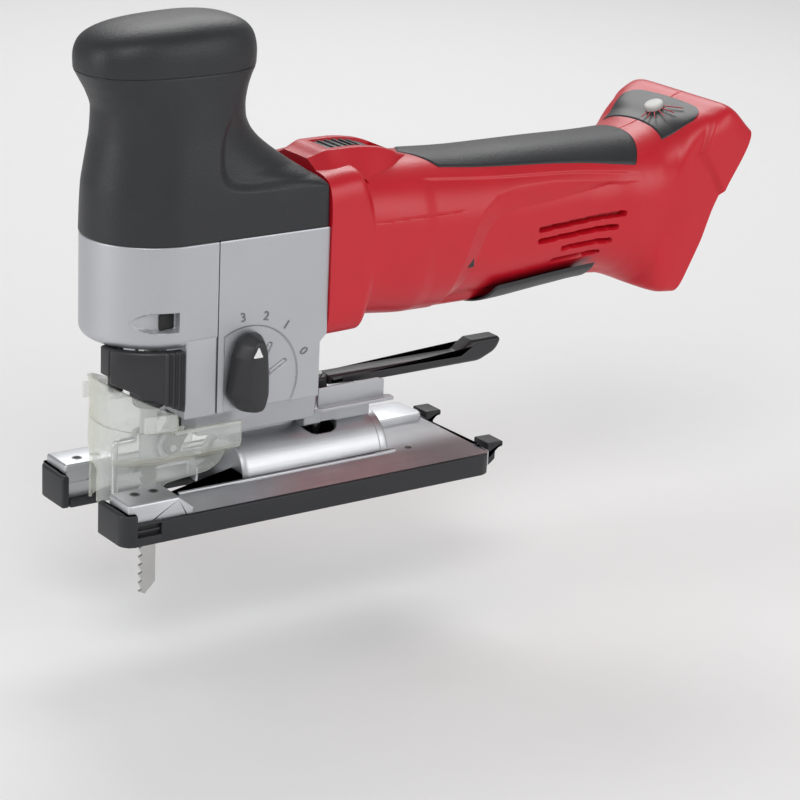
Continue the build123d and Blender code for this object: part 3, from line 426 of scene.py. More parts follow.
# ---------------------------------------------------------------- grip head and cap
def head_ring(height, around):
    """One level of the head: a superellipse r = ((|cos|/a)^n + (|sin|/b)^n)^(-1/n), with its own length and
    power in front of and behind the centre, so the rounded nose runs into square rear corners."""
    levels = [123.4, 135, 143.5, 150, 158, 166, 175, 182, 187, 191.4]
    centre = blend(height, levels, [0.75, 1.5, 3, 4.5, 6.5, 7.6, 8, 7.4, 6.5, 5.7])
    front = blend(height, levels, [-30.3, -30.0, -29.6, -28.6, -27.2, -25.9, -25.5, -27.8, -30.4, -33.0])
    rear_levels = [123.4, 141, 143.5, 145, 150, 156, 161, 166, 171, 176, 182, 187, 191.4]
    rear = blend(height, rear_levels, [69.4, 69.0, 67.8, 66.0, 59.4, 51.4, 45.8, 42.0, 40.0, 39.5, 40.4, 42.0, 44.2])
    half = blend(height, levels, [29.3, 29.2, 28.8, 28.2, 27.2, 26.1, 25.3, 24.9, 24.7, 24.5])
    front_power = blend(height, levels, [2.0, 2.0, 2.02, 2.05, 2.1, 2.15, 2.2, 2.3, 2.45, 2.53])
    rear_levels = [123.4, 140, 142.5, 145, 150, 160, 175, 191.4]
    rear_power = blend(height, rear_levels, [60, 50, 16, 6, 3.1, 2.4, 2.3, 2.53])
    ahead = np.cos(around) < 0
    length = np.where(ahead, centre - front, rear - centre)
    power = np.where(ahead, front_power, rear_power)
    radius = ((np.abs(np.cos(around)) / length) ** power + (np.abs(np.sin(around)) / half) ** power) ** (-1 / power)
    return centre + radius * np.cos(around), radius * np.sin(around)


def grip_head():
    """Head from the gear case to the cap, with a hollowed thumb rest on either side."""
    corner = np.radians(23.1 + 7 * np.linspace(-1, 1, 70) ** 3)
    around = np.unique(np.concatenate([np.arange(380) * TAU / 380, corner, TAU - corner]))
    height = np.concatenate([[123.5], np.linspace(124.0, 190.9, 170), [191.3]])
    x, y = head_ring(height[:, None], around[None])
    z = np.broadcast_to(height[:, None], x.shape)
    left = x - (16.2 + 0.0125 * (z - 151) ** 2)
    below = z - 142.4 + 0.03 * (x - 34)
    inside = -4 * np.log(np.exp(-left / 4) + np.exp(-below / 4))
    depth = 2.8 * ease(inside, -1.0, 3.4) * (1 - ease(z, 163, 178)) * (1 - 0.55 * ease(x, 40, 62))
    scale = 1 - depth / np.maximum(np.hypot(x - 8, y), 5)
    y = y * np.where(np.abs(y) > 4, scale, 1)
    edge = np.minimum(height - 123.5, 0.45) + np.minimum(191.3 - height, 0.45)
    pull = 1 - (0.9 - edge)[:, None] * 0.02
    rings = np.stack([8 + (x - 8) * pull, y * pull, z], -1)
    inner = rings[-1] * 0.9 + np.array([0.8, 0, 19.0])[None]
    rings = np.concatenate([rings, inner[None]])
    return loft("grip_head_shell", rings, "housing", soft_black, "grip_head", caps=(False, True), sharp=50)


def palm_cap():
    """Cap: the same rim carried up a superellipse profile, with the crown leaning up towards the rear."""
    around = np.arange(240) * TAU / 240
    rise = np.concatenate([np.linspace(0, 0.72, 34), 1 - (1 - 0.72) * np.linspace(1, 0, 34)[1:] ** 1.6])
    spread = (1 - rise ** 4.3) ** (1 / 2.6)
    spread = np.maximum(spread, 0.0) * (1.0 + 0.006 * np.sin(np.minimum(rise / 0.5, 1) * math.pi))
    x, y = head_ring(np.array([[191.4]]), around[None])
    x = 5.7 + (x - 5.7) * spread[:, None]
    y = y * spread[:, None]
    crown = 2.2 + 20.3 * rise[:, None] + 0.055 * (x - 5.7) * rise[:, None] ** 2
    rings = np.stack([x + 1.5 * rise[:, None] ** 3, y, 189.6 + crown], -1)[:-1]
    lip = rings[0] * np.array([0.985, 0.985, 1]) - np.array([-0.1, 0, 0.5])
    return loft("palm_cap", np.concatenate([lip[None], rings]), "housing", soft_black, "knob_cap", sharp=50)


# ---------------------------------------------------------------- gear case and front cover
def nose_outline(front, half, rear, count=90):
    """Half ellipse in front, straight sides, square rear."""
    angle = np.linspace(-math.pi / 2, -1.5 * math.pi, count)
    nose = np.stack([NOSE_X + front * np.cos(angle), half * np.sin(angle)], 1)
    straight = np.linspace(NOSE_X, rear, 12)[1:]
    left = np.stack([straight[::-1], np.full(11, -half)], 1)
    right = np.stack([straight, np.full(11, half)], 1)
    return np.concatenate([left, nose, right])


def nose_cover():
    """Rounded nose of the front cover, drawn in to the plunger's opening underneath, with a teardrop finger recess
    and its square opening on either side. Each opening is a near-black plate: painted shade."""
    top, low, edge = HOUSING_TOP - 0.1, NOSE_BOTTOM - 0.2, 4.2
    outline = nose_outline(NOSE_LENGTH, HALF_WIDTH, SEAM_X - 0.25, 300)
    out = outward(outline)
    turn = np.linspace(0, math.pi / 2, 9)
    inset = np.concatenate([[5.0], edge * (1 - np.sin(turn)), np.zeros(86), 0.7 * (1 - np.cos(turn[::2]))])
    height = np.concatenate([[low], low + edge * (1 - np.cos(turn)), np.linspace(low + edge, top - 0.7, 88)[1:-1],
                             top - 0.7 + 0.7 * np.sin(turn[::2])])
    flat = outline[None] - out[None] * inset[:, None, None]
    rings = np.concatenate([flat, np.broadcast_to(height[:, None, None], flat.shape[:2] + (1,))], 2)
    x, y, z = rings[..., 0], rings[..., 1], rings[..., 2]
    wide = blend(x, [-22, -17, -11, -3, 5], [0.05, 3.6, 4.4, 4.2, 4.2])
    lens = (np.abs(z - 91.3) / wide) ** 2
    scoop = (1 - ease(lens, 0.55, 1.0)) * (x > -21.5) * (x < -3.0)
    depth = scoop * np.where(x > -10.5, 3.9, 0.3 + 3.1 * ease(x, -21, -13))
    rings[..., :2] -= out[None] * depth[..., None]
    angle = np.unwrap(np.arctan2(outline[:, 1], outline[:, 0]))
    hole = PLUNGER_OPENING * np.stack([np.cos(angle), np.sin(angle)], 1)
    bottom = np.concatenate([hole, np.full((len(hole), 1), low)], 1)
    rings = np.concatenate([bottom[None] + [0, 0, 12], bottom[None], rings])
    piece = loft("nose_cover", rings, "housing", silver, "front_cover", caps=(False, False), sharp=45)
    for side, name in SIDES:
        leg = box_outline(0.2, SEAM_X - 0.25, *sorted((side * 13.0, side * HALF_WIDTH)), 0.8)
        plate("cover_leg_" + name, leg, CASE_BOTTOM, NOSE_BOTTOM + 3.0, "z", "housing", silver, bevel=0.1, base=0.8)
        # near-black plate in the recess: painted shade where the square opening is
        slot = box_outline(-10.2, -3.3, 88.0, 94.4, 0.8)
        y = -math.sqrt(1 - ((-6.7 - NOSE_X) / NOSE_LENGTH) ** 2) * HALF_WIDTH
        plate("recess_window_" + name, slot, -side * (y + 3.5) - 0.35, -side * (y + 3.5) + 0.35, "y", "housing",
              hollow_shade, bevel=0.1)
    return piece


def capsule(x, z, start, end, radius):
    """Distance outside a round-ended slot between two points."""
    start, run = np.array(start), np.array(end) - np.array(start)
    along = np.clip(((x - start[0]) * run[0] + (z - start[1]) * run[1]) / run.dot(run), 0, 1)
    return np.hypot(x - start[0] - along * run[0], z - start[1] - along * run[1]) - radius


def gear_case():
    """Gear case: straight-sided block with softened edges. The left side is pressed in round the selector
    by a disc cut off at the front, and slots on it mark the lever's stops."""
    rear, low, top = HOUSING_REAR, CASE_BOTTOM, HOUSING_TOP - 0.1
    side = np.linspace(SEAM_X + 0.25, rear, 200)
    outline = np.concatenate([np.stack([side, np.full(200, -HALF_WIDTH)], 1),
                              np.stack([side[::-8], np.full(25, HALF_WIDTH)], 1)])
    out = outward(outline)
    height = np.concatenate([[low, low + 0.25], np.linspace(low + 0.8, top - 0.7, 290), [top - 0.2, top]])
    inset = np.concatenate([[0.8, 0.25], np.zeros(290), [0.2, 0.7]])
    flat = outline[None] - out[None] * inset[:, None, None]
    rings = np.concatenate([flat, np.broadcast_to(height[:, None, None], flat.shape[:2] + (1,))], 2)
    step = (66 - SEAM_X + (HOUSING_REAR - 66) * ease(height, 72.6, 77.0)) / (HOUSING_REAR - SEAM_X)
    rings[..., 0] = SEAM_X + (rings[..., 0] - SEAM_X) * step[:, None]
    x, z = rings[..., 0], rings[..., 2]
    disc = np.hypot(x - SELECTOR[0], z - SELECTOR[1]) - SELECTOR_DISC
    disc = np.maximum(disc, 18.6 - x)
    press = 0.9 * (1 - ease(disc, -0.7, 0.1))
    for start, end in (((34.0, 78.2), (35.2, 79.4)), ((39.8, 71.8), (41.6, 75.2)), ((42.2, 63.2), (48.9, 66.9))):
        press = press + 0.8 * (1 - ease(capsule(x, z, start, end, 1.25), -0.35, 0.1))
        press = press - 0.75 * (1 - ease(capsule(x, z, start, end, 0.72), -0.3, 0.1))
    rings[..., 1] += np.where(rings[..., 1] < 0, press, 0)
    return loft("gear_case", rings, "housing", silver, "gear_housing", caps=(True, True), sharp=40)


def foot():
    """Foot under the gear case, the saddle rib on the barrel, and the tail that carries the tilt lock."""
    under = rounded([(12, 36.5, 1), (24, 35.5, 1), (71, 35.5, 1.5), (72, 49.2, 1), (12, 49.2, 0.5)])
    plate("foot_block", under, -20, -6.6, "y", "housing", silver, bevel=0.4, base=1.0)
    plate("foot_block_right", under, 6.6, 20, "y", "housing", silver, bevel=1.0, base=0.4)
    core = rounded([(30, 35.8, 0.5), (71, 35.8, 1), (71, 49, 0.5), (30, 49, 0.5)])
    plate("foot_core", core, -6.8, 6.8, "y", "housing", silver, bevel=0.1)
    rib = rounded([(34, 25.6, 1), (71, 25.6, 1), (71, 37, 0.5), (34, 37, 2)])
    plate("saddle_rib", rib, -4, 4, "y", "housing", silver, bevel=0.8)
    tail = rounded([(-11, 28.5, 1), (-3.5, 25.9, 1), (3.5, 25.9, 1), (11, 28.5, 1), (11, 40, 1), (-11, 40, 1)])
    for name, start, end in (("front", 71.5, 80.6), ("rear", 87.4, 106)):
        plate("tail_" + name, tail, start, end, "x", "housing", silver, bevel=0.8)
    for name, low_y, high_y in (("left", -11, -3.3), ("right", 3.3, 11)):
        cheek = box_outline(80, 88, 29, 39.6, 0.4)
        plate("tail_cheek_" + name, cheek, low_y, high_y, "y", "housing", silver, bevel=0.3)


def numerals():
    """Raised figures round the selector, in darker silver: painted shade for the shadowed outlines of engraved
    figures.
    """
    for text, angle, tilt in (("3", 97, 7), ("2", 74, -12), ("1", 51, -36), ("0", 19, -60)):
        curve = bpy.data.curves.new("figure_" + text, "FONT")
        curve.body, curve.size, curve.extrude, curve.bevel_depth = text, 5.6 * MM, 0.16 * MM, 0.05 * MM
        curve.align_x, curve.align_y = "CENTER", "CENTER"
        holder = bpy.data.objects.new("figure_holder", curve)
        mesh = bpy.data.meshes.new_from_object(holder)
        bpy.data.objects.remove(holder)
        x = SELECTOR[0] + FIGURE_RING * math.cos(math.radians(angle))
        z = SELECTOR[1] + FIGURE_RING * math.sin(math.radians(angle))
        spot = Matrix.Translation(Vector((x, -HALF_WIDTH - 0.06, z)) * MM)
        mesh.transform(spot @ Matrix.Rotation(math.radians(-tilt), 4, "Y") @ Matrix.Rotation(math.pi / 2, 4, "X"))
        mesh.materials.clear()
        # darker silver: painted shade of the engraving
        mesh.materials.append(shaded_silver.material)
        figure = put("selector_figure_" + text, mesh)
        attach(figure, "housing")


def selector_knob():
    """Orbit lever: a lobed bar whose flanks slope in to a narrow front face, with a white pointer."""
    lobes = [(-11.6, -4.2, 5), (-10.8, 3.8, 6), (-9.2, 12.8, 8), (-6.6, 19.3, 5), (-1.5, 22.2, 4), (3.6, 21.4, 4),
             (6.8, 14.8, 6), (8.0, 3.8, 9), (8.1, -5.2, 6), (4.8, -12.0, 5), (-5, -12.6, 6)]
    outline = rounded(lobes, 8) + SELECTOR
    foot_y, centre = -HALF_WIDTH - 0.4, np.array([29.8, 66.0])
    rows = [(0, 0.98, 0.98), (-0.5, 1, 1), (-2.6, 0.98, 0.99), (-5.0, 0.84, 0.965), (-7.6, 0.66, 0.93),
            (-9.4, 0.52, 0.90), (-10.0, 0.46, 0.88), (-10.3, 0.38, 0.85)]
    rings = [np.stack([centre[0] + (outline[:, 0] - centre[0]) * wide, np.full(len(outline), foot_y + depth),
                       centre[1] + (outline[:, 1] - centre[1]) * tall], 1) for depth, wide, tall in rows]
    loft("orbit_lever", rings, "selector", black_plastic, "selector_knob", sharp=50)
    arrow = rounded([(26.4, 74.6, 0.3), (31.0, 74.6, 0.3), (28.8, 79.4, 0.3)])
    plate("orbit_pointer", arrow, foot_y - 10.42, foot_y - 9.6, "y", "selector", white_print, bevel=0.05)


# ---------------------------------------------------------------- motor housing
BODY = {  # station: top x, top z, bottom x, bottom z, half width, power
    0.00: (69.6, 144.2, 69.6, 72.8, 30.5, 6.5),
    0.12: (85.0, 145.6, 86.5, 73.2, 30.5, 6.5),
    0.16: (92.0, 143.7, 93.0, 75.2, 30.2, 2.7),
    0.30: (120.0, 143.2, 120.0, 72.9, 31.0, 2.5),
    0.48: (160.0, 141.6, 160.0, 72.3, 31.0, 2.4),
    0.62: (200.0, 141.4, 196.0, 75.0, 31.0, 2.4),
    0.72: (226.0, 141.0, 216.0, 76.4, 31.0, 2.4),
    0.80: (244.0, 141.0, 231.0, 75.8, 31.4, 2.5),
    0.84: (253.0, 142.6, 236.0, 74.6, 32.0, 2.7),
    0.88: (261.0, 145.4, 241.0, 72.9, 32.7, 3.6),
    0.91: (267.5, 148.5, 244.5, 71.6, 33.6, 6.5),
    0.94: (276.0, 152.2, 248.5, 70.4, 34.6, 11.0),
    0.96: (284.0, 155.2, 252.0, 69.6, 35.2, 13.0),
    1.00: (297.5, 143.4, 258.5, 69.4, 35.6, 15.0),
}
TOPS, BOTTOMS = [row[0] for row in BODY.values()], [row[2] for row in BODY.values()]
WAVE = [(232, 124.5), (222.4, 125.7), (190, 128.9), (171, 128.8), (159.2, 126.7), (151, 121), (145.6, 113.1),
        (142.6, 104.8), (138.7, 93.6), (135.5, 79.6), (133, 68)]
EAR = [(278, 162), (266.5, 134), (284, 111)]
VENTS = [((184.5, 107), (229, 110)), ((184.5, 100.7), (225.5, 103.4)), ((198.2, 94.8), (223, 96.2)),
         ((194.3, 88.2), (218.5, 89.6))]


def path_side(x, z, route):
    """Distance from a bent line, positive on its right-hand side going along it."""
    best = np.full(x.shape, 1e9)
    side = np.ones(x.shape)
    for (ax, az), (bx, bz) in zip(route[:-1], route[1:]):
        run = np.array([bx - ax, bz - az])
        along = np.clip(((x - ax) * run[0] + (z - az) * run[1]) / run.dot(run), 0, 1)
        away_x, away_z = x - ax - along * run[0], z - az - along * run[1]
        distance = np.hypot(away_x, away_z)
        cross = run[0] * away_z - run[1] * away_x
        nearer = distance < best - 1e-9
        best = np.where(nearer, distance, best)
        side = np.where(nearer, np.sign(cross), side)
    return best * side


def body_point(station, around, lift=0.0, relief=True):
    """Point on the housing skin. Each station is a superellipse r = ((cos/h)^n + (sin/w)^n)^(-1/n) standing on
    the line from its bottom to its top; around is 0 at the top and grows down the left side. The raised
    wave, the ledge under the grip and the cooling slots are taken off the radius."""
    keys = list(BODY)
    top_x, top_z, low_x, low_z, half, power = (blend(station, keys, [BODY[k][i] for k in keys]) for i in range(6))
    rise_x, rise_z = (top_x - low_x) / 2, (top_z - low_z) / 2
    height = np.hypot(rise_x, rise_z)
    cos, sin = np.cos(around), np.sin(around)
    radius = ((np.abs(cos) / height) ** power + (np.abs(sin) / half) ** power) ** (-1 / power) + lift
    up = radius * cos / height
    x = (top_x + low_x) / 2 + rise_x * up
    z = (top_z + low_z) / 2 + rise_z * up
    if relief:
        depth = body_relief(x, z, np.abs(sin))
        scale = 1 - depth / radius
        x, z = (top_x + low_x) / 2 + (x - (top_x + low_x) / 2) * scale, (top_z + low_z) / 2 + (
            z - (top_z + low_z) / 2) * scale
        radius = radius - depth
    return np.stack([x, -radius * sin, z], -1)


def body_relief(x, z, sideways):
    """How far the skin lies below its smooth form, in millimetres."""
    behind = path_side(x, z, WAVE)
    width = blend(x, [134, 142, 150, 165, 188, 206, 222], [6, 8, 9, 9, 7.6, 4, 0.8])
    wave = 3.4 * np.clip(behind / width, 0, 1) * (1 - ease(x, 212, 240)) * ease(sideways, 0.2, 0.5)
    ledge_z = blend(x, [118, 160, 200, 236], [136.6, 133.2, 131.4, 127.9])
    ledge = 0.7 * (1 - ease(z, ledge_z - 0.4, ledge_z + 0.3)) * ease(x, 118, 126) * (1 - ease(x, 226, 240))
    line = 0.3 * (1 - ease(np.abs(z - 121.8), 0.15, 0.5)) * ease(x, 92, 96) * (1 - ease(x, 136, 142))
    ear = 2.9 * ease(path_side(x, z, EAR), 0.0, 2.4) * ease(sideways, 0.55, 0.75)
    relief = wave + ledge * ease(sideways, 0.3, 0.5) + line - ear
    for start, end in VENTS:
        relief = relief + 4.5 * (1 - ease(capsule(x, z, start, end, 1.45), -0.35, 0.1))
    seam = 0.25 * (1 - ease(sideways, 0.0, 0.012))
    return relief + seam


def motor_shell(side, name):
    """One clamshell: the skin from the gear case to the battery face, turned in over the rim of the bay
    and down its walls to the floor. The rim bends forward a little below the ears."""
    station = np.concatenate([np.linspace(0, 0.115, 16), np.linspace(0.12, 0.165, 20), np.linspace(0.17, 1, 290)])
    around = np.linspace(0, math.pi, 270)
    skin = body_point(station[:, None], around[None])
    bend = 2.0 * (1 - ease(np.abs(skin[..., 2] - 113), 3, 22)) * ease(station, 0.95, 1.0)[:, None]
    skin[..., 0] -= bend
    face = skin[-1]
    middle = (face[0] + face[-1]) / 2
    out = np.array([0.884, 0, -0.467])
    lips = [(0.975, 0.45), (0.955, 0.5), (0.90, 0.4), (0.885, 0.0), (0.88, -1.0), (0.87, -14.0), (0.5, -14.2),
            (0.02, -14.2)]
    rim = [middle + (face - middle) * scale + out * rise for scale, rise in lips]
    inside = skin[0] * [1, 0.6, 0.6] + [0, 0, 44]
    rows = np.concatenate([[inside, skin[0] * [1, 0.995, 1]], skin, rim])
    rows[..., 1] *= -side
    rows = rows if side < 0 else rows[:, ::-1]
    return loft("motor_shell_" + name, rows, "housing", red_plastic, "motor_housing_" + name, caps=(False, False),
                ring=False, sharp=42)


def body_patch(name, front, back, reach, lift, finish, node, under=False, rows=120, columns=60):
    """Skin laid on the housing from x = front to x = back, both given for each share of the half width,
    proud by lift and rolled down at its edges."""
    u, v = np.linspace(0, 1, rows)[:, None], np.linspace(-1, 1, columns)[None]
    x = front(np.abs(v)) + (back(np.abs(v)) - front(np.abs(v))) * u
    station = np.interp(x, BOTTOMS if under else TOPS, list(BODY))
    around = (math.pi if under else 0) + v * reach(x)
    edge = np.minimum(np.minimum(u, 1 - u) * 60, (1 - np.abs(v)) * 14)
    rise = lift * np.sqrt(np.clip(edge, 0, 1)) - 0.35 * (1 - np.clip(edge * 2, 0, 1))
    return loft(name, body_point(station, around, rise, relief=False), "housing", finish, node, caps=(False, False),
                ring=False, sharp=60)


def grips():
    """Soft cover over the top of the grip, and the wear pad underneath."""
    reach = lambda x: blend(x, [124, 133, 154, 180, 206, 238], [0.50, 0.51, 0.56, 0.63, 0.72, 0.86])
    body_patch("top_grip_cover", lambda v: 122 + 11 * v, lambda v: 247.5 - 8.0 * v ** 2, reach, 0.5,
               soft_black, "top_grip")
    under = lambda x: blend(x, [157, 160, 164, 216, 219], [0.5, 0.7, 0.82, 0.86, 0.8])
    body_patch("wear_pad", lambda v: 156 + 6 * v, lambda v: 219 - 3 * v, under, 0.5, soft_black,
               "bottom_insert", True, 80, 40)


def switch_hump():
    """Raised switch housing, wedge-nosed and sloping away at the back, with a sunk ribbed slider. Each
    section is a trapezoid with an opening in its top."""
    x = np.concatenate([np.linspace(69.8, 78, 12), [79, 80, 80.9, 81.2], np.linspace(83, 111, 15), [112.8, 113.1],
                        np.linspace(114, 126, 12)])
    base = blend(x, [66, 79.5, 92, 106, 113.6, 118, 126], [20, 24.5, 22.5, 19.8, 14.6, 11, 5])
    crest = blend(x, [65.6, 72, 79, 92, 104, 112, 118, 126], [146.6, 148.6, 150.9, 150.9, 149.6, 147.4, 144.6, 142.2])
    half = blend(x, [66, 72, 79, 100, 112, 116, 126], [7.5, 9.6, 11.0, 11.5, 11.5, 9.5, 4.0])
    ground = blend(x, [66, 80, 90, 96, 106, 114, 126], [141.5, 141.5, 140.0, 135.5, 133.5, 135.0, 138.0])
    opening = (x > 81) & (x < 113)
    floor = crest - np.where(opening, 4.0, 0.02)
    inner = np.where(opening, 7.7, np.minimum(7.7, half - 0.5))
    rings = []
    for place, b, h, g, top, f, i in zip(x, base, half, ground, crest, floor, inner):
        ring = rounded([(-b, g, 0.3), (b, g, 0.3), (h, top, 0.9), (i, top, 0.15), (i - 0.1, f, 0.01),
                        (-i + 0.1, f, 0.01), (-i, top, 0.15), (-h, top, 0.9)], 5)
        rings.append(np.stack([np.full(len(ring), place), ring[:, 0], ring[:, 1]], 1))
    loft("switch_hump", rings, "housing", red_plastic, sharp=35)
    start = LOW["slide_switch"][0]
    top = rounded([(start, 146, 0.6), (start + 0.4, 150.3, 1.2), (start + 12, 150.2, 6), (start + 26, 148.2, 1.0),
                   (start + 26.4, 145, 0.6)])
    plate("switch_slider", top, -6.9, 6.9, "y", "switch", black_plastic, "slide_switch", bevel=0.8)
    for index in range(5):
        place = start + 5.0 + index * 3.7
        z = blend(place, [start, start + 12, start + 26], [150.2, 150.1, 148.1])
        ridge = rounded([(place - 0.7, z - 0.5, 0.2), (place + 0.7, z - 0.5, 0.2), (place + 0.5, z + 0.7, 0.3),
                         (place - 0.5, z + 0.7, 0.3)])
        plate("switch_ridge_%d" % index, ridge, -6.2, 6.2, "y", "switch", black_plastic, bevel=0.4)


def ramp_frame():
    """Foot of the speed dial's axis on the ramp, the slope's two directions, and its normal."""
    return (np.array([268.0, 0, 148.8]), np.array([0.936, 0, 0.351]), np.array([0, 1.0, 0]),
            np.array([-0.351, 0, 0.936]))


def dial():
    """Dark trim with its printed marks, and the light thumb wheel."""
    body_patch("dial_trim", lambda v: 257.6 - 1.5 * v, lambda v: 277.5 - 2.0 * v ** 2 - 7.0 * v ** 9,
               lambda x: 0.60 + 0 * x, 0.55, black_plastic, "dial_panel", False, 50, 90)
    centre, slope, across, normal = ramp_frame()
    turn = np.arange(72) * TAU / 72
    grip = 1 + 0.018 * np.cos(turn * 24)
    rings = [centre + normal * rise + (r * np.where(r > 4.3, grip, 1))[:, None]
             * (slope * np.cos(turn)[:, None] + across * np.sin(turn)[:, None])
             for r, rise in ((4.4, 0.2), (4.5, 1.6), (4.5, 2.2), (4.1, 2.6), (3.4, 2.75))]
    loft("speed_wheel", rings, "dial", grey_plastic, "speed_dial", sharp=50)
    for index in range(6):
        lean = math.radians(-165 + index * 18)
        ray = slope * math.cos(lean) + across * math.sin(lean)
        reach = np.linspace(5.8, 10.5 + 1.2 * index, 6)[:, None]
        route = centre + normal * (0.95 + 0.12 * index) + ray * reach
        wire("speed_mark_%d" % index, route, 0.24, "housing", red_print)


# ---------------------------------------------------------------- shoe and sole cover
def both_sides(outline):
    """The outline mirrored to the other side, running the other way."""
    return [(x, -y, r) for x, y, r in outline][::-1]


def shoe():
    """Cast shoe: forked plate with a channel under the barrel, pads on the prongs, a barrel with a window,
    front disc and end ring, and a pad behind it."""
    right = [(100.0, 9.5, 3), (30.0, 9.5, 1), (30.0, 16.5, 1), (-8, 16.5, 1), (-8, 18.6, 1), (SHOE_FRONT, 18.6, 1),
             (SHOE_FRONT, SHOE_HALF, 2), (SHOE_REAR, SHOE_HALF, 3)]
    outline = rounded(right + both_sides(right), 7)
    plate("shoe_plate", outline, SOLE, SHOE_TOP, "z", "base", shoe_alloy, "shoe", bevel=(6.0, 2.9), base=0.4)
    for side, name in SIDES:
        pad = rounded([(SHOE_FRONT + 0.05, 3.6, 0.3), (SHOE_FRONT + 0.05, PAD_TOP, 1.2), (-5.5, PAD_TOP, 0.8),
                       (1.8, SHOE_TOP - 0.3, 1.0), (1.8, 3.6, 0.3)])
        near, far = (-SHOE_HALF, -18.8) if side < 0 else (18.8, SHOE_HALF)
        plate("prong_pad_" + name, pad, near, far, "y", "base", shoe_alloy, bevel=1.0)
        for index, x in enumerate((-20.5, -11.7)):
            # dimple: darker silver disc, painted shade in the dimple; hole: near-black disc, painted shade inside the
            # hole
            plate("pad_dimple_%s_%d" % (name, index), circle(x, side * 24.8, 2.3, 32), PAD_TOP - 0.1, PAD_TOP + 0.12,
                  "z", "base", shaded_silver, bevel=0.1)
            plate("pad_hole_%s_%d" % (name, index), circle(x, side * 24.8, 1.5, 32), PAD_TOP - 0.1, PAD_TOP + 0.2,
                  "z", "base", hollow_shade, bevel=0.05)
    x = np.linspace(BARREL_FRONT, BARREL_REAR, 150)[:, None]
    angle = np.linspace(math.radians(-8), math.radians(188), 190)[None]
    edge = 0.6 * (1 - ease(x, BARREL_FRONT, BARREL_FRONT + 1))
    radius = BARREL_RADIUS - edge + 0 * angle
    rows = np.stack([x + 0 * angle, -radius * np.cos(angle), BARREL_Z + radius * np.sin(angle)], -1)

    def solid(middle):
        """False in the round-cornered window over the clamp bolt, wide enough for the tilt."""
        lean = np.arctan2(middle[:, 1], middle[:, 2] - BARREL_Z) * BARREL_RADIUS
        return capsule(middle[:, 0], lean - np.clip(lean, -4.6, 0.9), (78.5, 0), (84.5, 0), 6.2) > 0

    barrel = loft("barrel", rows, "base", shoe_alloy, caps=(False, False), ring=False, keep=solid)
    wall = barrel.modifiers.new("wall", "SOLIDIFY")
    wall.thickness, wall.offset = 3.4 * MM, -1.0
    end = circle(0, BARREL_Z, BARREL_RADIUS - 0.6, 96)
    plate("barrel_front", np.maximum(end, [-99, SOLE + 0.3]), 38.9, 40.4, "x", "base", shoe_alloy, bevel=0.1)
    plate("barrel_ring", circle(0, BARREL_Z, 17.6, 96), 107.4, 112.5, "x", "base", shoe_alloy, bevel=1.0)
    plate("barrel_ring_lip", circle(0, BARREL_Z, 16.4, 96), 104.9, 107.6, "x", "base", shoe_alloy, bevel=0.5)
    pad = rounded([(112.6, 7.6, 0.5), (148.0, 7.6, 2.0), (149.2, 12, 2.0), (147.6, 27, 2.5), (112.6, 27, 1.5)])
    plate("rear_pad", pad, SHOE_TOP - 0.5, 16.1, "z", "base", shoe_alloy, bevel=0.6, base=0.1)
    for side, name in SIDES:
        rib = mirrored(side, [(2.5, 20.6, 0.4), (114, 20.6, 0.4), (117, 22.2, 1.0), (2.5, 22.2, 0.4)])
        plate("edge_rib_" + name, rib, SHOE_TOP - 0.5, SHOE_TOP + 1.1, "z", "base", shoe_alloy, bevel=0.5, base=0.1)
    # near-black disc: painted shade inside the hole
    plate("shoe_hole", circle(121.6, -19.9, 1.6, 32), SHOE_TOP - 0.1, SHOE_TOP + 0.1, "z", "base", hollow_shade,
          bevel=0.05)


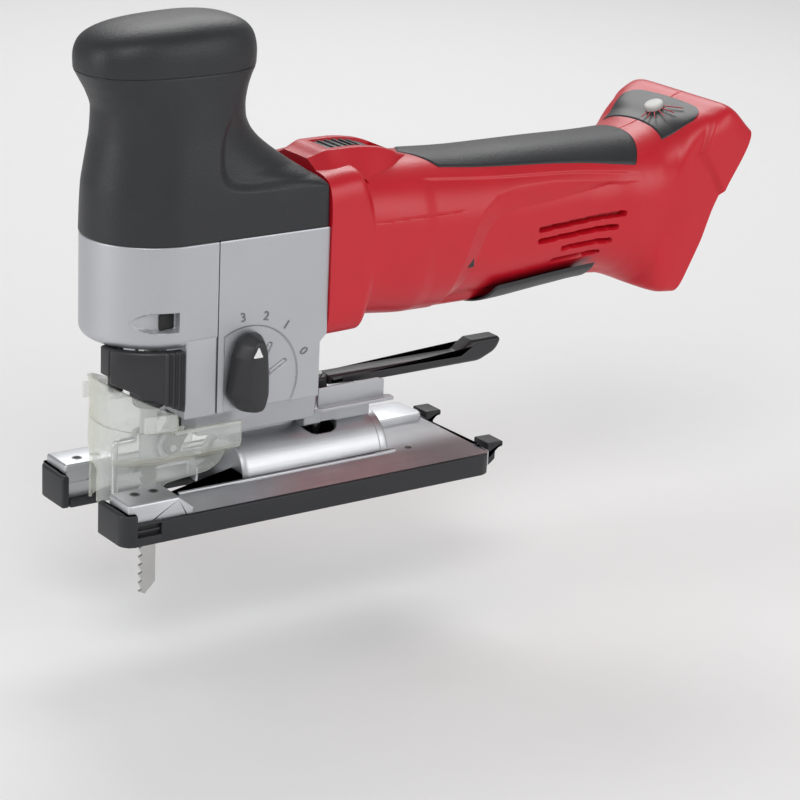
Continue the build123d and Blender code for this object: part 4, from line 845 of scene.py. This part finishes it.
def sole_cover():
    """Black slip-on sole: thin plate, side rails, wrapped bumpers, edge guide sockets and rear clips."""
    front = COVER_FRONT
    half = COVER_HALF - 0.6
    right = [(30.0, 14.8, 3), (-29.0, 14.8, 1), (-29.0, half, 2), (HIGH["sole_cover"][0] - 18, half, 4)]
    plate("sole_plate", rounded(right + both_sides(right)), 0, SOLE, "z", "base", soft_black, "sole_cover",
          bevel=0.2, base=0.7)
    for side, name in SIDES:
        rail = mirrored(side, [(-15.0, SHOE_HALF, 0.3), (152.3, SHOE_HALF, 0.3), (152.3, SHOE_HALF - 8, 1.5),
                               (154.4, SHOE_HALF - 8, 1), (154.4, 36.5, 3.0), (150.0, COVER_HALF, 3.5),
                               (-15.0, COVER_HALF, 0.4)], 5)
        plate("side_rail_" + name, rail, 0.3, 9.9, "z", "base", soft_black, bevel=0.5)
        wrap = mirrored(side, [(-26.2, SHOE_HALF + 0.08, 0.1), (SHOE_FRONT - 0.04, SHOE_HALF + 0.08, 0.1),
                               (SHOE_FRONT - 0.04, 15.0, 0.5), (front, 15.0, 1.2), (front, COVER_HALF, 6.0),
                               (-26.2, COVER_HALF, 0.3)], 9)
        plate("bumper_" + name, wrap, 0.2, 14.5, "z", "base", soft_black, bevel=1.2, base=0.7)
        low = mirrored(side, [(-26.6, SHOE_HALF - 2, 0.3), (-14.6, SHOE_HALF - 2, 0.3),
                              (-14.6, COVER_HALF, 0.3), (-26.6, COVER_HALF, 0.3)])
        plate("socket_sill_" + name, low, 0.4, 4.2, "z", "base", soft_black, bevel=0.3)
        plate("socket_head_" + name, low, 9.2, 10.4, "z", "base", soft_black, bevel=0.3)
        rib = mirrored(side, [(-26.4, SHOE_HALF + 0.05, 0.1), (-15.0, SHOE_HALF + 0.05, 0.1),
                              (-15.0, SHOE_HALF + 0.9, 0.1), (-26.4, SHOE_HALF + 0.9, 0.1)])
        plate("socket_rib_" + name, rib, 6.0, 7.0, "z", "base", black_plastic, bevel=0.1)
        # near-black sheet at the back of the socket: painted shade in the socket
        back = mirrored(side, [(-26.2, SHOE_HALF, 0.1), (-15.0, SHOE_HALF, 0.1),
                               (-15.0, SHOE_HALF + 0.12, 0.05), (-26.2, SHOE_HALF + 0.12, 0.05)])
        plate("socket_shade_" + name, back, 4.2, 9.2, "z", "base", hollow_shade, bevel=0.02)
        clip = rounded([(150, 0.3, 0.3), (160, 0.6, 1.5), (163.4, 3.0, 1.5), (163.6, 8.2, 0.5), (167.6, 8.5, 0.6),
                        (167.6, 11.0, 0.6), (159.0, 11.2, 0.6), (158.8, 6.0, 1.0), (158, 3.4, 0.5), (150, 3.0, 0.3)])
        centre = side * 24
        plate("rear_clip_" + name, clip, centre - 5.5, centre + 5.5, "y", "base", soft_black, bevel=0.8)


# ---------------------------------------------------------------- small mechanisms
def lock_lever():
    """Tilt lock: long bar that thins along its top edge and kicks up at the end."""
    profile = rounded([(88, 42.6, 1), (117, 41.2, 9), (170.5, 41.3, 12), (180, 45.2, 8), (183.2, 51.6, 1.8),
                       (166.6, 51.6, 1.2), (158.6, 46.7, 4), (88, 47.0, 1)], 9)
    plate("lock_bar", profile, -5, 5, "y", "lock", black_plastic, "lock_lever", bevel=2.0)
    inner = rounded([(95, 43.6, 0.5), (117, 42.4, 9), (169.5, 42.6, 9), (178, 46.0, 6), (180.8, 50.2, 1),
                     (168, 50.2, 1), (159.6, 45.4, 3), (95, 45.6, 0.5)], 7)
    plate("lock_bar_panel", inner, -5.25, 5.25, "y", "lock", black_plastic, bevel=0.25)
    plate("lock_hub", circle(LOCK_X, 0, 5.2, 64), 40.4, 46.8, "z", "lock", black_plastic, bevel=1.2)


def bracket():
    """Folded steel angle beside the tail."""
    web = rounded([(75.5, 38, 0.3), (110, 38, 0.3), (110, 45.4, 0.6), (107, 46.4, 0.6), (75.5, 46.0, 0.6)])
    plate("bracket_web", web, -15.6, -14.2, "y", "housing", silver, "foot_bracket", bevel=0.25)
    lip = rounded([(72, -17.4, 0.6), (75, -14.2, 0.6), (110, -14.2, 0.6), (113, -16, 0.8), (113, -19.5, 0.6),
                   (75.5, -19.5, 0.8)])
    plate("bracket_lip", lip, 36.6, 38.2, "z", "housing", silver, bevel=0.35)


def release_lever():
    """Blade release: a wall that follows the nose from its front hinge to a ribbed thumb end, with a
    slanted underside. Each cross-section is a rounded rectangle standing square to the nose."""
    start, end = math.radians(-150), math.radians(-93.6)
    turn = np.linspace(start, end, 150)
    front, half = NOSE_LENGTH + 0.4, HALF_WIDTH + 0.2
    x, y = NOSE_X + front * np.cos(turn), half * np.sin(turn)
    nx, ny = half * np.cos(turn), front * np.sin(turn)
    length = np.hypot(nx, ny)
    nx, ny = nx / length, ny / length
    ribs = 0.95 * (0.5 + 0.5 * np.cos((x + 1.2) / 2.3 * TAU)) * (x > -9.6) * (x < -1.0)
    section = rounded([(-2.4, 0, 0.05), (2.0, 0, 0.05), (2.0, 1, 0.05), (-2.4, 1, 0.05)], 5)
    low = 53.0 + 13.5 * (-1.0 - x) / 29.0
    high = 79.2
    depth = section[:, 0][None] + np.where(section[:, 0][None] > 0, ribs[:, None], 0)
    taper = 1 - 0.5 * np.maximum(0, 1 - np.arange(150) / 3)[:, None] * 0.4
    depth = depth * taper
    edge = 0.9 * ((section[:, 1][None] - 0.5) * 2) ** 8 * (section[:, 0][None] > 0)
    rings = np.stack([x[:, None] + nx[:, None] * (depth - edge), y[:, None] + ny[:, None] * (depth - edge),
                      low[:, None] + (high - low[:, None]) * section[:, 1][None]], -1)
    loft("release_lever_wall", rings, "release", black_plastic, "release_lever", sharp=40)
    hinge = circle(-20, -7, 3.2, 40)
    plate("release_hinge", hinge, 58, 79.6, "z", "release", black_plastic, bevel=0.6)
    link = rounded([(-27.6, -14.4, 0.5), (-24.6, -15.6, 0.5), (-19.0, -9.2, 0.5), (-21.8, -5.2, 0.5),
                    (-27.8, -8.0, 1.0)])
    plate("release_link", link, 67.2, 79.2, "z", "release", black_plastic, bevel=0.6)
    plate("hinge_pin_head", circle(-20, -7, 1.5, 24), 56.4, 58.2, "z", "housing", steel, "lever_pin", bevel=0.3)


def guard():
    """Clear guard: rounded front with straight sides, narrow between the prongs, flared above them, with a
    sloping collar; the plan is an ellipse arc run on into straight lines."""
    def plan(height, share, centre, length, half, rear):
        """Point round the plan at a share from -1 (rear left) to 1 (rear right)."""
        bend = np.clip(np.abs(share) / 0.62, 0, 1) * math.pi / 2
        run = np.clip((np.abs(share) - 0.62) / 0.38, 0, 1)
        x = centre - length * np.cos(bend) + run * (rear - centre)
        y = np.sign(share) * half * np.sin(bend)
        return np.stack([x, y, height + 0 * x], -1)

    share = np.linspace(-1, 1, 221)[None]
    height = np.concatenate([np.linspace(9, 24, 30), np.linspace(24.4, 42.5, 36)])[:, None]
    levels = [9, 16, 24, 28, 32, 42.5]
    centre = blend(height, levels, [-3, -3, -3, -2.5, -2, -2])
    length = blend(height, levels, [24.4, 24.4, 24.2, 23.7, 23.2, 22.6])
    half = blend(height, [9, 22, 24.5, 31.5, 34, 42.5], [13.0, 13.0, 13.6, 25.0, 25.7, 25.8])
    rear = blend(height, [9, 15, 17.5, 22, 28, 42.5], [-3.0, 1.0, 22.0, 28.5, 30.2, 30.4])
    rows = plan(height, share, centre, length, half, rear)

    def wall(middle):
        """False in the arched slot at the front."""
        arch = capsule(middle[:, 1], middle[:, 2], (0, 0), (0, 22.0), 3.4)
        return (arch > 0) | (middle[:, 0] > -12)

    skirt = loft("guard_skirt", rows, "guard", clear_guard, "blade_guard", caps=(False, False), ring=False,
                 keep=wall, sharp=30)
    height = np.linspace(0, 1, 24)[:, None]
    base = plan(0, share, -2.0, 22.6, 25.8, 2.0)
    top = 62.9 - 0.494 * (base[..., 0] + 28)
    level = 42.5 + (np.where(base[..., 0] > -1.6, 44.0, top) - 42.5) * height
    flare = 1 + 0.03 * ease(height, 0.8, 1.0)
    collar = np.stack([(base[..., 0] + 2) * flare - 2, base[..., 1] * flare, level], -1)
    rim = loft("guard_collar", collar, "guard", clear_guard, caps=(False, False), ring=False, sharp=30)
    for piece in (skirt, rim):
        shell = piece.modifiers.new("wall", "SOLIDIFY")
        shell.thickness, shell.offset = 1.3 * MM, 1.0
    for side, name in SIDES:
        lip = mirrored(side, [(-2.0, 24.6, 0.4), (30.4, 24.6, 1.0), (30.4, 27.0, 1.0), (-2.0, 27.0, 0.4)])
        plate("guard_lip_" + name, lip, 41.6, 43.0, "z", "guard", clear_guard, bevel=0.3)
        tab = rounded([(-17, 44.5, 0.5), (-1.6, 43.5, 0.5), (-1.6, 51.0, 0.8), (-17, 51.6, 0.8)])
        plate("guard_tab_" + name, tab, *sorted((side * 25.9, side * 27.0)), "y", "guard", clear_guard, bevel=0.3)


def wire_guard():
    """Bent wire in front of the blade, running back beside the clamp."""
    front = -16.2
    knots = [0, 0.30, 0.36, 0.42, 0.55, 0.62, 0.70, 1.0]
    t = np.linspace(0, 1, 120)
    route = np.stack([blend(t, knots, [front, front, front + 0.7, front + 2.6, -7.5, -5.0, -1.0, 12.4]),
                      blend(t, knots, [0, 0, 0, 0, 0.4, 3.4, 8.6, 10.5]),
                      blend(t, knots, [9.2, 29.4, 31.6, 32.0, 32.0, 32.0, 32.2, 37.4])], 1)
    wire("finger_guard", route, 1.5, "housing", wire_steel, "wire_guard")


def blade_clamp():
    """Clamp collar: stepped turned body with a waist."""
    profile = [(4.6, 46.8), (6.4, 46.8), (7.0, 47.6), (7.0, 50.2), (8.0, 51.0), (8.0, 58.0), (7.2, 58.8), (7.2, 60.4),
               (8.0, 61.2), (8.0, 65.8), (7.4, 66.5), (4.6, 66.5)]
    turn = np.arange(72) * TAU / 72
    rings = [np.stack([r * np.cos(turn), r * np.sin(turn), np.full(72, z)], 1) for r, z in profile]
    loft("clamp_collar", rings, "plunger", dark_steel, "blade_clamp", sharp=30)


grip_head()
palm_cap()
nose_cover()
gear_case()
foot()
numerals()
selector_knob()
for hand, hand_name in SIDES:
    motor_shell(hand, hand_name)
grips()
switch_hump()
dial()
shoe()
sole_cover()
lock_lever()
bracket()
release_lever()
guard()
wire_guard()
blade_clamp()


# ---------------------------------------------------------------- floor, light and camera
def room():
    """Pale floor that curves up into a wall behind."""
    span = np.linspace(-1, 1, 40)
    across, back = np.meshgrid(span * 3.0, np.linspace(0, 1, 40), indexing="ij")
    depth = -2.5 + 5.5 * back
    rise = np.where(depth > 1.6, (1 - np.sqrt(np.clip(1 - ((depth - 1.6) / 1.4) ** 2, 0, 1))) * 1.4, 0)
    points = np.stack([across, depth, rise - 0.062], -1).reshape(-1, 3)
    turn = Matrix.Rotation(math.radians(-35.76), 3, "Z")
    mesh = bpy.data.meshes.new("floor")
    mesh.from_pydata(points @ np.array(turn).T, [], grid_faces(40, 40, False).tolist())
    mesh.shade_smooth()
    floor = put("floor", mesh)
    paper = moulded("backdrop_paper", None, (0.9, 0.9, 0.9), 0.8, 3.0, 0.02, 0.01)
    mesh.materials.append(paper.material)


def area_light(name, place, aim, size, power, tint=(1, 1, 1)):
    """Soft rectangular light turned to face a point."""
    lamp = bpy.data.lights.new(name, "AREA")
    lamp.shape, lamp.size, lamp.size_y, lamp.energy, lamp.color = "RECTANGLE", size[0], size[1], power, tint
    holder = put(name, lamp)
    holder.location = place
    holder.rotation_euler = (Vector(aim) - Vector(place)).to_track_quat("-Z", "Y").to_euler()


def camera():
    """Camera at the chosen azimuth and elevation, tipped slightly about its own axis."""
    azimuth, elevation, roll = math.radians(-35.76), math.radians(19.0), math.radians(2.61)
    target, distance = Vector((130.29, 0.0, 27.54)) * MM, 1215.4 * MM
    level = math.cos(elevation)
    back = Vector((math.sin(azimuth) * level, -math.cos(azimuth) * level, math.sin(elevation)))
    right = Vector((math.cos(azimuth), math.sin(azimuth), 0))
    up = back.cross(right)
    right, up = right * math.cos(roll) + up * math.sin(roll), up * math.cos(roll) - right * math.sin(roll)
    lens = bpy.data.cameras.new("camera")
    lens.lens, lens.sensor_width, lens.clip_start, lens.clip_end = 121.44, 36.0, 0.05, 20.0
    holder = put("camera", lens)
    turn = Matrix((right, up, back)).transposed().to_4x4()
    holder.matrix_world = Matrix.Translation(target + back * distance) @ turn
    bpy.context.scene.camera = holder


room()
middle = (0.1, 0.0, 0.08)
area_light("key_light", (-0.75, -1.1, 1.35), middle, (0.9, 0.7), 11)
area_light("side_light", (0.95, -1.5, 0.75), middle, (0.9, 0.9), 8)
area_light("nose_light", (-1.5, 0.25, 0.55), middle, (0.5, 0.9), 7)
area_light("rim_light", (0.9, 1.2, 1.3), middle, (1.0, 0.6), 12)
world = bpy.data.worlds.new("studio")
world.use_nodes = True
world.node_tree.nodes["Background"].inputs["Color"].default_value = (1.0, 1.0, 1.0, 1.0)
world.node_tree.nodes["Background"].inputs["Strength"].default_value = 0.36
bpy.context.scene.world = world
bpy.context.scene.view_settings.view_transform = "Standard"
camera()
